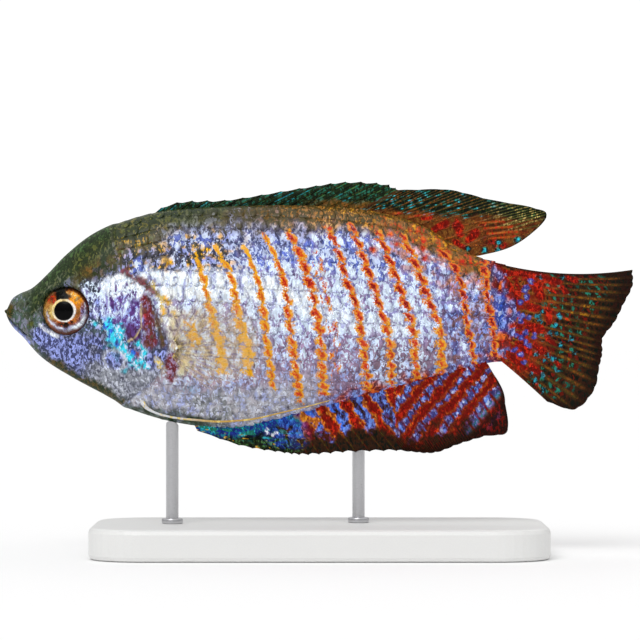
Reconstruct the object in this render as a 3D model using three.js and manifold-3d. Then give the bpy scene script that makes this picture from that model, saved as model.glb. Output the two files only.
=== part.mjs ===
// A male dwarf gourami, a small freshwater fish, as a life-size model on a display stand.
// Millimetres, +Z up. The fish faces -X and its left side faces -Y. The origin is on the
// underside of the stand, below the middle of the fish's length.

import * as THREE from "three";
import { mergeVertices } from "three/addons/utils/BufferGeometryUtils.js";
import Module from "manifold-3d";

const wasm = await Module();
wasm.setup();

// Driving sizes
const TOTAL_LENGTH = 80; // from the upper lip to the end of the tail fin
const AXIS_HEIGHT = 30; // the fish's own long axis above the table
const GAP = 0.3; // between neighbouring pieces

// Sizes of the fish are distances from the snout and heights over the long axis.
const UPPER_OUTLINE = [
  [0, 1.1], [0.7, 2.6], [1.6, 3.3], [3.4, 4.15], [5.4, 6], [7.5, 8.2], [10.5, 10.65],
  [13.6, 12.25], [17.6, 13.5], [22.2, 14.3], [32.4, 14.8], [43, 14.6], [50.3, 13.3], [54.1, 11.7],
  [58.2, 9.2], [61, 7.9], [66, 6.8],
];
const LOWER_OUTLINE = [
  [0, 0.6], [1.3, -1.1], [4.4, -4.65], [8.5, -7.35], [13.6, -10.1], [15.6, -11.45],
  [21.7, -13.25], [28.6, -13.95], [32.7, -13.3], [40.1, -11.35], [51.5, -8.3], [59.2, -6.2],
  [62.5, -5.5], [66, -5.7],
];
const HALF_WIDTHS = [
  [0, 0.6], [1, 1.3], [3, 2.1], [5.5, 3], [8, 3.6], [12, 4.4], [17, 4.9], [22, 5.1], [30, 4.9],
  [40, 4.2], [50, 3.2], [58, 2.2], [62, 1.5], [66, 0.75],
];
const WIDEST_LEVEL = 0.56; // share of the depth, from the belly up
const BACK_SHARPNESS = 0.1;
const BELLY_SHARPNESS = 0.35;
const BODY_END = 66;
const BODY_STATIONS = 40;
const BODY_SIDES = 24;

// Where the body is parted, from the back down to the belly
const GILL_EDGE = [
  [15.6, 16], [16.1, 12], [17, 8], [18.4, 4.4], [19.7, 2.6], [20.2, 0.4], [19.8, -1.9], [18.6, -4.9],
  [17, -7.6], [16.2, -10], [15.9, -15],
];
const TAIL_CUT = [[59.6, 12], [60.4, 4], [60.4, -2], [59.8, -10]];
const TAIL_FIN_EDGE = [[62.4, 10], [63.3, 6.5], [64.7, 2], [64.8, -1.5], [63.8, -4.6], [62.3, -8]];

const GILL_COVER = {
  outline: [
    [17.6, 5.6], [14.8, 5.2], [12.9, 2.6], [12.3, -1.6], [13, -5.2], [14.6, -7.6], [17.4, -8.2],
    [22, -6], [22.5, 0], [21, 5],
  ],
  raised: 0.25,
  depth: 0.85,
};

const EYE = { along: 7.7, height: 1.3, radius: 2.9, outer: 4.35, inner: 0.9, sides: 28 };
const NOSTRILS = [
  { along: 2.9, height: 2.1, radius: 0.28 },
  { along: 4.5, height: 2.9, radius: 0.34 },
];
const MOUTH = {
  line: [[-1, 1.75], [0.05, 0.85], [2.75, -1.6], [4, -4.2], [4.6, -7], [-1, -7]],
  lipRadius: 0.42,
  cornerAlong: 2.5,
};

const MEMBRANE = 0.5; // fin skin between the rays
const RAY_ROOT = 1.1;
const RAY_TIP = 0.75;
const FIN_EDGE = 0.3;
const ROOT_DEPTH = 1; // how far a fin reaches into the body before it is cut to it
const SPINE_NOTCH = 0.5; // the skin stops this far short of a spine's tip

// Each guide ray runs from a root on the body to a tip: [root along, tip along, tip height].
const DORSAL_FIN = {
  guides: [
    [20, 21.4, 14.95], [22, 23.9, 15.15], [24, 27.4, 15.1], [27, 31.5, 15.6], [32, 38.5, 16.7],
    [36.5, 43.5, 17.4], [41, 48.6, 17.2], [44.5, 50.6, 16.5], [48, 56.5, 16.6], [51.5, 62, 15.3],
    [54, 67.3, 14.3], [56, 69.1, 13.35], [57, 67.6, 11.5], [57.8, 64.6, 9.4], [58.6, 60.6, 8.4],
  ],
  spines: 16,
  softRays: 9,
  wave: 0.35, // how far its edge waves off the midline
  waves: 1.4,
};
const ANAL_FIN = {
  guides: [
    [23.6, 24.4, -14.15], [26, 29.6, -16], [30.4, 35, -16.95], [34.4, 38.2, -17.3],
    [39, 43.6, -16.95], [44, 50.4, -16.75], [49, 54.7, -16.95], [52.5, 58, -15.8],
    [55.5, 61.2, -14.85], [57.6, 64, -14.25], [59, 63.8, -11], [60, 63.4, -9], [60.7, 62.4, -7.4],
    [61, 61.8, -6.6],
  ],
  spines: 17,
  softRays: 14,
  wave: 0.35,
  waves: 1.4,
};
// The tail fin's rays also say their root's height and how far they sag: the first and last bend.
const TAIL_FIN = {
  guides: [
    [62, 7.4, 79.95, 6.4, -0.95], [63, 5.4, 80, 4.4, -0.3], [63.8, 3.6, 78.9, 2.1, 0],
    [64.2, 2, 77.7, -0.3, 0], [64.4, 0.6, 76.2, -2.3, 0], [64.4, -0.8, 76.1, -4.2, 0],
    [64.2, -2, 75.7, -6, 0], [63.8, -3, 75, -9, 0], [63.1, -4, 72.6, -11.4, 0.1],
    [62.5, -4.7, 69.1, -10.4, 0.1],
  ],
  rays: 17,
  wave: 0.5,
  waves: 1.1,
};
const PECTORAL_FIN = {
  guides: [
    [21.4, -2.7, 24.8, 3.2, 0.3], [21.6, -3, 28.2, 2.4, 0.2], [21.7, -3.3, 30.9, 0.6, 0.1],
    [21.7, -3.6, 32.3, -2.4, 0], [21.6, -3.9, 31.9, -5.3, -0.1], [21.4, -4.2, 29.7, -7.6, -0.2],
    [21.2, -4.5, 26.2, -8.9, -0.3],
  ],
  rays: 10,
  rootSunk: 0.4, // how far its root lies under the skin, before it is cut to it
  spread: 3.6, // how far the tips stand off the flank
  bow: 0.6, // how far the middle bows out further
};
const FEELER = {
  clearance: 0.08, // on top of the gap, for the flats of its sides
  rootSunk: 0.5,
  route: [
    [17.2, -10.3], [18.1, -10.9], [19.6, -11.6], [21.7, -12.1], [24.4, -12.4], [27, -12.6],
    [29.5, -12.5], [32, -12.2], [35, -11.5], [38, -10.8], [41.4, -9.9],
  ],
  rootRadius: 0.4,
  radius: 0.27,
  tipRadius: 0.15,
  steps: 30,
  sides: 8,
};

const STAND = {
  length: 58,
  width: 30,
  thickness: 4,
  corner: 7,
  edge: 0.6,
  rodRadius: 0.8,
  socketDepth: 2.4,
  frontRod: { along: 21.2, side: 0, top: -10 },
  rearRod: { along: 45, side: 2.25, top: -5 },
};

// A smooth function through a few points, as a Catmull-Rom spline in the second value.
function smoothThrough(points) {
  const slope = (i) => {
    const [a, b] = [points[Math.max(i - 1, 0)], points[Math.min(i + 1, points.length - 1)]];
    return (b[1] - a[1]) / (b[0] - a[0]);
  };
  return (x) => {
    let i = 0;
    while (i < points.length - 2 && x > points[i + 1][0]) i++;
    const [p, q] = [points[i], points[i + 1]];
    const span = q[0] - p[0];
    const t = THREE.MathUtils.clamp((x - p[0]) / span, 0, 1);
    const [t2, t3] = [t * t, t * t * t];
    return (
      (2 * t3 - 3 * t2 + 1) * p[1] +
      (t3 - 2 * t2 + t) * span * slope(i) +
      (3 * t2 - 2 * t3) * q[1] +
      (t3 - t2) * span * slope(i + 1)
    );
  };
}

const upper = smoothThrough(UPPER_OUTLINE);
const lower = smoothThrough(LOWER_OUTLINE);
const halfWidth = smoothThrough(HALF_WIDTHS);

// A place given by its distance from the snout, its side and its height over the long axis
function place(along, side, height) {
  return new THREE.Vector3(along - TOTAL_LENGTH / 2, side, AXIS_HEIGHT + height);
}

// A point of the body's cross-section, at an angle from the top. Positive angles are on +Y.
function sectionPoint(along, angle, grow) {
  const [top, bottom] = [upper(along) + grow, lower(along) - grow];
  const widest = bottom + (top - bottom) * WIDEST_LEVEL;
  const up = Math.cos(angle);
  const out = Math.sin(angle);
  const height = widest + up * (up > 0 ? top - widest : widest - bottom);
  const sharpness = up > 0 ? BACK_SHARPNESS : BELLY_SHARPNESS;
  const side = (halfWidth(along) + grow) * out * Math.abs(out) ** sharpness;
  return { side, height };
}

// The point and the outward direction of the body's side at a height, on +Y
function sidePoint(along, height) {
  const [top, bottom] = [upper(along), lower(along)];
  const widest = bottom + (top - bottom) * WIDEST_LEVEL;
  const reach = height > widest ? top - widest : widest - bottom;
  const angle = Math.acos(THREE.MathUtils.clamp((height - widest) / reach, -1, 1));
  const step = 0.02;
  const here = sectionPoint(along, angle, 0);
  const after = sectionPoint(along, angle + step, 0);
  const outward = new THREE.Vector2(here.height - after.height, after.side - here.side).normalize();
  return { side: here.side, outward };
}

// A closed surface over rings of points, each ring with the same number of points
function ringSolid(rings) {
  const sides = rings[0].length;
  const points = rings.flat();
  const faces = [];
  for (let i = 0; i < rings.length - 1; i++)
    for (let j = 0; j < sides; j++) {
      const [a, b] = [i * sides + j, i * sides + ((j + 1) % sides)];
      faces.push(a, b, b + sides, a, b + sides, a + sides);
    }
  for (const [ring, turned] of [[0, false], [rings.length - 1, true]]) {
    const middle = points.length;
    const sum = rings[ring].reduce((s, p) => s.add(p), new THREE.Vector3());
    points.push(sum.divideScalar(sides));
    for (let j = 0; j < sides; j++) {
      const [a, b] = [ring * sides + j, ring * sides + ((j + 1) % sides)];
      faces.push(...(turned ? [middle, a, b] : [middle, b, a]));
    }
  }
  return outwardSolid(points, faces);
}

// A solid over points and faces, turned inside out if its faces point inwards
function outwardSolid(points, faces) {
  const made = solidOf(new THREE.BufferGeometry().setFromPoints(points).setIndex(faces));
  if (made.volume() > 0) return made;
  const turned = faces.map((_, i) => faces[i - (i % 3) + ((3 - (i % 3)) % 3)]);
  return solidOf(new THREE.BufferGeometry().setFromPoints(points).setIndex(turned));
}

function solidOf(geometry) {
  const bare = geometry.clone();
  bare.deleteAttribute("normal");
  bare.deleteAttribute("uv");
  const merged = mergeVertices(bare, 1e-4);
  return new wasm.Manifold(
    new wasm.Mesh({
      numProp: 3,
      vertProperties: merged.attributes.position.array,
      triVerts: new Uint32Array(merged.index.array),
    }),
  );
}

function largestOf(made) {
  return made.decompose().reduce((a, b) => (b.volume() > a.volume() ? b : a));
}

// The whole body without fins, grown or shrunk all round
function bodySolid(grow) {
  const rings = [];
  for (let i = 0; i <= BODY_STATIONS; i++) {
    const share = i / BODY_STATIONS;
    const along = BODY_END * share ** 1.35;
    const ring = [];
    for (let j = 0; j < BODY_SIDES; j++) {
      const { side, height } = sectionPoint(along, (-j / BODY_SIDES) * 2 * Math.PI, grow);
      const stretch = i === 0 ? -grow : i === BODY_STATIONS ? grow : 0;
      ring.push(place(along + stretch, side, height));
    }
    rings.push(ring);
  }
  return ringSolid(rings);
}

// A flat outline in the fish's side view, drawn out sideways from one side value to another
function prism(outline, from, to) {
  const shape = new THREE.Shape(
    outline.map(([along, height]) => {
      const p = place(along, 0, height);
      return new THREE.Vector2(p.x, p.z);
    }),
  );
  const geometry = new THREE.ExtrudeGeometry(shape, { depth: to - from, bevelEnabled: false });
  geometry.rotateX(Math.PI / 2);
  geometry.translate(0, to, 0);
  return solidOf(geometry);
}

function smoothLine(points, steps, closed = false) {
  const curve = new THREE.CatmullRomCurve3(
    points.map(([a, h]) => new THREE.Vector3(a, h, 0)),
    closed,
    "centripetal",
  );
  const line = curve.getPoints(steps).map((p) => [p.x, p.y]);
  return closed ? line.slice(0, -1) : line;
}

// Everything behind a cut line that runs from the back down to the belly
function behind(line, shift) {
  const edge = smoothLine(line, 24).map(([a, h]) => [a + shift, h]);
  const [first, last] = [edge[0], edge[edge.length - 1]];
  return prism([...edge, [TOTAL_LENGTH, last[1]], [TOTAL_LENGTH, first[1]]], -9, 9);
}

function shifted(line, by) {
  return line.map(([a, h]) => [a + by, h + by]);
}

// A tube that tapers along a list of centres
function taperedTube(centres, radii, sides) {
  const curve = new THREE.CatmullRomCurve3(centres);
  const frames = curve.computeFrenetFrames(radii.length - 1, false);
  const rings = radii.map((radius, i) => {
    const middle = curve.getPoint(i / (radii.length - 1));
    const ring = [];
    for (let j = 0; j < sides; j++) {
      const angle = (j / sides) * 2 * Math.PI;
      ring.push(
        middle
          .clone()
          .addScaledVector(frames.normals[i], radius * Math.cos(angle))
          .addScaledVector(frames.binormals[i], radius * Math.sin(angle)),
      );
    }
    return ring;
  });
  return ringSolid(rings);
}

// The values of the guide rays, blended at a share of the way from the first to the last.
// With byRoot the shares are even steps along the root, otherwise from guide to guide.
function guideAt(guides, share, byRoot) {
  const keys = guides.map((guide, i) => (byRoot ? guide[0] : i));
  const spot = THREE.MathUtils.lerp(keys[0], keys[keys.length - 1], share);
  return guides[0].map((_, k) => smoothThrough(guides.map((guide, i) => [keys[i], guide[k]]))(spot));
}

// A value that runs from one end to the other and bows off the straight way in between
function bowed(from, to, bow, t) {
  return THREE.MathUtils.lerp(from, to, t) + bow * 4 * t * (1 - t);
}

// How far a fin waves to the side, growing towards its edge
function waveAt(share, t, wave, waves) {
  return wave * t * t * Math.sin(waves * 2 * Math.PI * share);
}

// A fin as one thin sheet whose rays stand up as ridges on both of its faces. rayAt gives the
// middle of the sheet at a share of the root and a share of the ray. The first rays are spines.
function finSheet({ rays, spines, steps, rayAt }) {
  const columns = 2 * rays - 1;
  const faces = [];
  const points = [[], []];
  for (let j = 0; j < columns; j++) {
    const share = j / (columns - 1);
    const isRay = j % 2 === 0;
    const [before, after] = [Math.max(share - 0.01, 0), Math.min(share + 0.01, 1)];
    const length = rayAt(share, 1).distanceTo(rayAt(share, 0));
    const reach = isRay || j > 2 * spines ? 1 : 1 - SPINE_NOTCH / length;
    for (let i = 0; i <= steps; i++) {
      const t = (i / steps) * reach;
      const alongRay = rayAt(share, Math.min(t + 0.05, 1)).sub(rayAt(share, Math.max(t - 0.05, 0)));
      const acrossRays = rayAt(after, t).sub(rayAt(before, t));
      const out = acrossRays.cross(alongRay).normalize();
      const ridge = isRay ? THREE.MathUtils.lerp(RAY_ROOT, RAY_TIP, t) : MEMBRANE;
      const thick = i === steps ? FIN_EDGE : ridge;
      points[0].push(rayAt(share, t).addScaledVector(out, thick / 2));
      points[1].push(rayAt(share, t).addScaledVector(out, -thick / 2));
    }
  }
  const rows = steps + 1;
  const half = points[0].length;
  const quad = (a, b, c, d) => faces.push(a, b, c, a, c, d);
  for (let j = 0; j < columns - 1; j++) {
    for (let i = 0; i < steps; i++) {
      const a = j * rows + i;
      quad(a, a + 1, a + rows + 1, a + rows);
      faces.push(half + a, half + a + rows + 1, half + a + 1);
      faces.push(half + a, half + a + rows, half + a + rows + 1);
    }
    const root = j * rows;
    quad(root, root + rows, half + root + rows, half + root);
    const tip = root + steps;
    quad(tip, half + tip, half + tip + rows, tip + rows);
  }
  const last = (columns - 1) * rows;
  for (let i = 0; i < steps; i++) {
    quad(i, half + i, half + i + 1, i + 1);
    quad(last + i, last + i + 1, half + last + i + 1, half + last + i);
  }
  return outwardSolid([...points[0], ...points[1]], faces);
}

// A fin on the midline of the back or the belly. inward is +1 where the body lies above the fin.
function midlineFin({ guides, spines, softRays, wave, waves }, outline, inward, grown) {
  const sheet = finSheet({
    rays: spines + softRays,
    spines,
    steps: 4,
    rayAt: (share, t) => {
      const [root, tip, tipHeight] = guideAt(guides, share, true);
      const rootHeight = outline(root) + inward * ROOT_DEPTH;
      const height = THREE.MathUtils.lerp(rootHeight, tipHeight, t);
      return place(THREE.MathUtils.lerp(root, tip, t), waveAt(share, t, wave, waves), height);
    },
  });
  return sheet.subtract(grown);
}

function tailFin(grown) {
  const { guides, rays, wave, waves } = TAIL_FIN;
  const sheet = finSheet({
    rays,
    spines: 0,
    steps: 6,
    rayAt: (share, t) => {
      const [root, rootHeight, tip, tipHeight, bow] = guideAt(guides, share, false);
      const height = bowed(rootHeight, tipHeight, bow, t);
      return place(THREE.MathUtils.lerp(root, tip, t), waveAt(share, t, wave, waves), height);
    },
  });
  return sheet.subtract(grown);
}

function pectoralFin(side, grown) {
  const { guides, rays, rootSunk, spread, bow: outwardBow } = PECTORAL_FIN;
  const sheet = finSheet({
    rays,
    spines: 0,
    steps: 5,
    rayAt: (share, t) => {
      const [root, rootHeight, tip, tipHeight, bow] = guideAt(guides, share, false);
      const rootSide = sidePoint(root, rootHeight).side - rootSunk;
      const out = bowed(rootSide, rootSide + spread, outwardBow, t);
      const height = bowed(rootHeight, tipHeight, bow, t);
      return place(THREE.MathUtils.lerp(root, tip, t), side * out, height);
    },
  });
  return sheet.subtract(grown);
}

// A thread-like pelvic fin that lies folded back along the belly
function feeler(side, grown) {
  const { route, rootRadius, radius, tipRadius, steps, sides, clearance, rootSunk } = FEELER;
  const radii = Array.from({ length: steps + 1 }, (_, i) => {
    const t = i / steps;
    const rootTaper = THREE.MathUtils.lerp(rootRadius, radius, Math.min(t * 5, 1));
    return THREE.MathUtils.lerp(rootTaper, tipRadius, Math.max(t * 4 - 3, 0));
  });
  const centres = route.map(([along, height], i) => {
    const { side: out, outward } = sidePoint(along, height);
    const off = i === 0 ? -rootSunk : GAP + (i === 1 ? rootRadius : radius) + clearance;
    return place(along, side * (out + outward.x * off), height + outward.y * off);
  });
  return taperedTube(centres, radii, sides).subtract(grown);
}

// An eyeball, turned about the fish's side-to-side axis
function eye(side, grow) {
  const { along, height, radius, outer, inner, sides } = EYE;
  const depth = outer - inner;
  const profile = [
    [0, outer], [0.45, outer - 0.05 * depth], [0.76, outer - 0.18 * depth],
    [0.95, outer - 0.36 * depth], [1, outer - 0.52 * depth], [0.9, outer - 0.75 * depth],
    [0.55, outer - 0.94 * depth], [0, inner],
  ].map(([r, out]) => [r * radius, out]);
  const middle = (outer + inner) / 2;
  const scaleUp = [(radius + grow) / radius, (depth / 2 + grow) / (depth / 2)];
  const points = profile.map(
    ([r, out]) => new THREE.Vector2(r * scaleUp[0], middle + (out - middle) * scaleUp[1]),
  );
  const geometry = new THREE.LatheGeometry(points.reverse(), sides);
  if (side < 0) geometry.rotateX(Math.PI);
  const spot = place(along, 0, height);
  geometry.translate(spot.x, 0, spot.z);
  return solidOf(geometry);
}

// A lip that runs round the front of the mouth, on the upper or lower side of its line
function lip(offset) {
  const { lipRadius, cornerAlong } = MOUTH;
  const centres = [];
  for (const side of [-1, -0.8, -0.45, 0, 0.45, 0.8, 1]) {
    const along = 0.25 + (cornerAlong - 0.25) * side * side;
    const height = 0.75 - along * 0.93 + offset;
    const out = Math.max(halfWidth(along + 0.4) - 0.35, 0) * Math.sign(side) * Math.abs(side) ** 0.35;
    centres.push(place(along, out, height));
  }
  const radii = [0.15, 0.7, 1, 1, 1, 1, 1, 1, 1, 1, 1, 1, 0.7, 0.15].map((r) => r * lipRadius);
  return taperedTube(centres, radii, 8);
}

function nostril({ along, height, radius }, side) {
  const { side: out } = sidePoint(along, height);
  const geometry = new THREE.CylinderGeometry(radius, radius, 1.2, 8);
  const spot = place(along, side * out, height);
  geometry.translate(spot.x, spot.y, spot.z);
  return solidOf(geometry);
}

function headPieces(body) {
  const half = GAP / 2;
  let head = body.add(lip(0.28)).add(lip(-0.36)).subtract(behind(GILL_EDGE, -half));
  const cover = smoothLine(GILL_COVER.outline, 40, true);
  const room = prism(smoothLine(grownOutline(GILL_COVER.outline, GAP), 40, true), -9, 9);
  head = head.subtract(room.subtract(bodySolid(-GILL_COVER.depth - GAP)));
  const shell = bodySolid(GILL_COVER.raised).subtract(bodySolid(-GILL_COVER.depth));
  const covers = {};
  for (const [name, side] of [["left", -1], ["right", 1]]) {
    const [from, to] = side < 0 ? [-9, -0.5] : [0.5, 9];
    covers[name] = shell.intersect(prism(cover, from, to)).subtract(behind(GILL_EDGE, -half));
    head = head.subtract(eye(side, GAP));
    for (const n of NOSTRILS) head = head.subtract(nostril(n, side));
  }
  const diagonal = half * Math.SQRT1_2;
  const jaw = head.intersect(prism(shifted(MOUTH.line, -diagonal), -9, 9));
  head = head.subtract(prism(shifted(MOUTH.line, diagonal), -9, 9));
  return { head, jaw, covers };
}

// An outline moved outwards from its own middle
function grownOutline(outline, by) {
  const middle = outline.reduce((s, [a, h]) => [s[0] + a, s[1] + h], [0, 0]).map((v) => v / outline.length);
  return outline.map(([a, h]) => {
    const [da, dh] = [a - middle[0], h - middle[1]];
    const reach = Math.hypot(da, dh);
    return [a + (da * by) / reach, h + (dh * by) / reach];
  });
}

function standBase() {
  const { length, width, thickness, corner, edge } = STAND;
  const [x, y] = [length / 2 - edge, width / 2 - edge];
  const r = corner - edge;
  const shape = new THREE.Shape();
  shape.moveTo(-x + r, -y);
  shape.lineTo(x - r, -y).absarc(x - r, -y + r, r, -Math.PI / 2, 0);
  shape.lineTo(x, y - r).absarc(x - r, y - r, r, 0, Math.PI / 2);
  shape.lineTo(-x + r, y).absarc(-x + r, y - r, r, Math.PI / 2, Math.PI);
  shape.lineTo(-x, -y + r).absarc(-x + r, -y + r, r, Math.PI, 1.5 * Math.PI);
  const geometry = new THREE.ExtrudeGeometry(shape, {
    depth: thickness - 2 * edge,
    bevelThickness: edge,
    bevelSize: edge,
    bevelSegments: 2,
    curveSegments: 5,
  });
  geometry.translate(0, 0, edge);
  return solidOf(geometry);
}

function rod({ along, side, top: height }, grow) {
  const { rodRadius, socketDepth, thickness } = STAND;
  const top = AXIS_HEIGHT + height;
  const bottom = thickness - socketDepth + (grow ? 0 : GAP);
  const geometry = new THREE.CylinderGeometry(rodRadius + grow, rodRadius + grow, top - bottom, 16);
  geometry.rotateX(Math.PI / 2);
  const spot = place(along, side, 0);
  geometry.translate(spot.x, spot.y, (top + bottom) / 2);
  return solidOf(geometry);
}

const FINISHES = {
  skin: new THREE.MeshStandardMaterial({ color: 0xa9a8c8, roughness: 0.4, metalness: 0.2 }),
  head: new THREE.MeshStandardMaterial({ color: 0x6b6e58, roughness: 0.45, metalness: 0.1 }),
  fin: new THREE.MeshStandardMaterial({ color: 0x5a2a1c, roughness: 0.5, metalness: 0 }),
  clearFin: new THREE.MeshStandardMaterial({ color: 0xc9bfa0, roughness: 0.4, metalness: 0 }),
  feeler: new THREE.MeshStandardMaterial({ color: 0xd8a23a, roughness: 0.5, metalness: 0 }),
  eye: new THREE.MeshStandardMaterial({ color: 0xb5651d, roughness: 0.1, metalness: 0.1 }),
  base: new THREE.MeshStandardMaterial({ color: 0xe8e8e6, roughness: 0.4, metalness: 0 }),
  steel: new THREE.MeshStandardMaterial({ color: 0xb8babd, roughness: 0.3, metalness: 1 }),
};

const fish = new THREE.Group();

function addNode(name, made, finish) {
  const { vertProperties, triVerts } = largestOf(made).getMesh();
  const geometry = new THREE.BufferGeometry()
    .setAttribute("position", new THREE.BufferAttribute(new Float32Array(vertProperties), 3))
    .setIndex(new THREE.BufferAttribute(new Uint32Array(triVerts), 1));
  geometry.computeVertexNormals();
  const mesh = new THREE.Mesh(geometry, finish);
  mesh.name = name;
  fish.add(mesh);
}

const half = GAP / 2;
const body = bodySolid(0);
const grown = bodySolid(GAP).subtract(behind(TAIL_FIN_EDGE, half));

const { head, jaw, covers } = headPieces(body);
addNode("head", head, FINISHES.head);
addNode("lower_jaw", jaw, FINISHES.head);
const rest = body.intersect(behind(GILL_EDGE, half));
addNode("torso", rest.subtract(behind(TAIL_CUT, -half)), FINISHES.skin);
const stem = rest.intersect(behind(TAIL_CUT, half)).subtract(behind(TAIL_FIN_EDGE, -half));
addNode("tail_stem", stem, FINISHES.skin);
addNode("dorsal_fin", midlineFin(DORSAL_FIN, upper, -1, grown), FINISHES.fin);
addNode("anal_fin", midlineFin(ANAL_FIN, lower, 1, grown), FINISHES.fin);
addNode("tail_fin", tailFin(grown), FINISHES.fin);
for (const [name, side] of [["left", -1], ["right", 1]]) {
  addNode(`gill_cover_${name}`, covers[name], FINISHES.head);
  addNode(`eye_${name}`, eye(side, 0), FINISHES.eye);
  addNode(`pectoral_fin_${name}`, pectoralFin(side, grown), FINISHES.clearFin);
  addNode(`pelvic_feeler_${name}`, feeler(side, grown), FINISHES.feeler);
}

const sockets = rod(STAND.frontRod, GAP).add(rod(STAND.rearRod, GAP));
addNode("stand_base", standBase().subtract(sockets), FINISHES.base);
addNode("stand_rod_front", rod(STAND.frontRod, 0).subtract(grown), FINISHES.steel);
addNode("stand_rod_rear", rod(STAND.rearRod, 0).subtract(grown), FINISHES.steel);

export default fish;
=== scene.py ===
"""Dresses a life-size model of a male dwarf gourami on its display stand.

Sizes are in mm: along runs from the snout to the tail, height is over the fish's long axis
and side is off the middle plane, with the left flank on the minus side.
"""
import logging
import math
from dataclasses import dataclass, field
from enum import Enum
from typing import Sequence

import bpy
import numpy as np
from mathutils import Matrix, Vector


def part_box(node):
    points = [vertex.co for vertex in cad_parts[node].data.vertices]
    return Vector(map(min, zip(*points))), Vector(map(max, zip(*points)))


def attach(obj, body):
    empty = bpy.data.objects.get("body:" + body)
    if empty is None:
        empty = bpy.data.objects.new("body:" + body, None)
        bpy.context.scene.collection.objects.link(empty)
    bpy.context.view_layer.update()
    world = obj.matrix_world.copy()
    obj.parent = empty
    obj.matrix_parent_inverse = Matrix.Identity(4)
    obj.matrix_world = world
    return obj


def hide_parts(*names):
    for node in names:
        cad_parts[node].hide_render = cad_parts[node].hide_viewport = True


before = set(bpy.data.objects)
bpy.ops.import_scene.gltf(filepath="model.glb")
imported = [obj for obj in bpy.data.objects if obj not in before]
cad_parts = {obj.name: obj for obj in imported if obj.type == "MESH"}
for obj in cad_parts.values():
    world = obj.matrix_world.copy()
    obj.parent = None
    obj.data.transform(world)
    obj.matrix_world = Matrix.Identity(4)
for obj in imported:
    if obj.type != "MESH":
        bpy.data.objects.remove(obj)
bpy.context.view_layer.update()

LOG = logging.getLogger("gourami")
MM = 0.001
AXIS_LEVEL = 30.0
MID_ALONG = 40.0
Array = np.ndarray
Trio = tuple[Array, Array, Array]
Points = Sequence[tuple[float, ...]]
Piece = bpy.types.Object
Material = bpy.types.Material


def smooth_through(points: Points, x: Array) -> Array:
    """A smooth curve through a few points.

    Args:
        points: pairs of place and value, in rising order of place.
        x: the places to read.

    Returns:
        The value at each place.
    """
    xs, ys = np.asarray(points, float).T
    count = len(xs)
    before = np.maximum(np.arange(count) - 1, 0)
    after = np.minimum(np.arange(count) + 1, count - 1)
    slope = (ys[after] - ys[before]) / (xs[after] - xs[before])
    i = np.clip(np.searchsorted(xs, x, side="right") - 1, 0, count - 2)
    span = xs[i + 1] - xs[i]
    t = np.clip((x - xs[i]) / span, 0, 1)
    rise = 3 * t**2 - 2 * t**3
    start_pull, end_pull = t**3 - 2 * t**2 + t, t**3 - t**2
    return (
        (1 - rise) * ys[i] + rise * ys[i + 1]
        + span * (start_pull * slope[i] + end_pull * slope[i + 1])
    )


def ease(value: Array, low: Array | float, high: Array | float) -> Array:
    """A soft step from 0 at low to 1 at high."""
    t = np.clip((value - low) / (high - low), 0, 1)
    return t * t * (3 - 2 * t)


def fade(value: Array, low: Array | float, high: Array | float) -> Array:
    """A soft step from 1 at low to 0 at high."""
    return 1 - ease(value, low, high)


def bell(distance: Array, width: Array | float) -> Array:
    """1 at no distance, falling off over a width."""
    return np.exp(-((distance / width) ** 2))


def lerp(first: Array | float, second: Array | float, share: Array | float) -> Array:
    """The value a share of the way from first to second."""
    return first + (second - first) * share


def off_line(line: Points, along: Array, height: Array) -> tuple[Array, Array]:
    """How far points lie from a line of straight lengths.

    Args:
        line: corners of the line, as along and height.
        along: the points' places along the fish.
        height: their heights.

    Returns:
        The distance from the line, and the share of the way along the line, from 0 to 1.
    """
    corners = np.asarray(line, float)
    lengths = np.hypot(*np.diff(corners, axis=0).T)
    starts = np.concatenate([[0], np.cumsum(lengths)])
    best = np.full(np.shape(along), 1e9)
    share = np.zeros(np.shape(along))
    for k, length in enumerate(lengths):
        (a, b), (c, d) = corners[k], corners[k + 1]
        t = np.clip(((along - a) * (c - a) + (height - b) * (d - b)) / length**2, 0, 1)
        far = np.hypot(along - lerp(a, c, t), height - lerp(b, d, t))
        nearer = far < best
        best = np.where(nearer, far, best)
        share = np.where(nearer, (starts[k] + t * length) / starts[-1], share)
    return best, share


class Grain:
    """Smooth, seeded unevenness from 0 to 1 over a plane."""

    SIZE = 128

    def __init__(self, seed: int) -> None:
        """Draws the table that the unevenness is read from."""
        self.table = np.random.default_rng(seed).random((self.SIZE, self.SIZE))

    def layer(self, a: Array, b: Array) -> Array:
        """One layer of unevenness, with a pitch of 1.

        Args:
            a: places the first way.
            b: places the second way.

        Returns:
            The unevenness, from 0 to 1.
        """
        i, j = np.floor(a).astype(int), np.floor(b).astype(int)
        s, t = ease(a - i, 0, 1), ease(b - j, 0, 1)

        def corner(di: int, dj: int) -> Array:
            """The table's value at a corner of the cell."""
            return self.table[(i + di) % self.SIZE, (j + dj) % self.SIZE]

        return lerp(lerp(corner(0, 0), corner(1, 0), s), lerp(corner(0, 1), corner(1, 1), s), t)

    def __call__(self, along: Array, height: Array, pitch: float, tall: float = 1.0) -> Array:
        """Unevenness of a pitch in mm.

        Args:
            along: places along the fish.
            height: heights.
            pitch: the size of a blotch.
            tall: how many times taller than long a blotch is.

        Returns:
            Values from 0 to 1, mostly near a half.
        """
        a, b = along / pitch, height / pitch / tall
        return (2 * self.layer(a, b) + self.layer(2.1 * a + 31, 2.1 * b + 17)) / 3


@dataclass(frozen=True)
class Tone:
    """A paint, as the eye reads it, from 0 to 255."""

    red: int
    green: int
    blue: int

    @property
    def paint(self) -> Array:
        """The paint as linear red, green and blue."""
        c = np.array([self.red, self.green, self.blue]) / 255
        return np.where(c <= 0.04045, c / 12.92, ((c + 0.055) / 1.055) ** 2.4)


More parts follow.
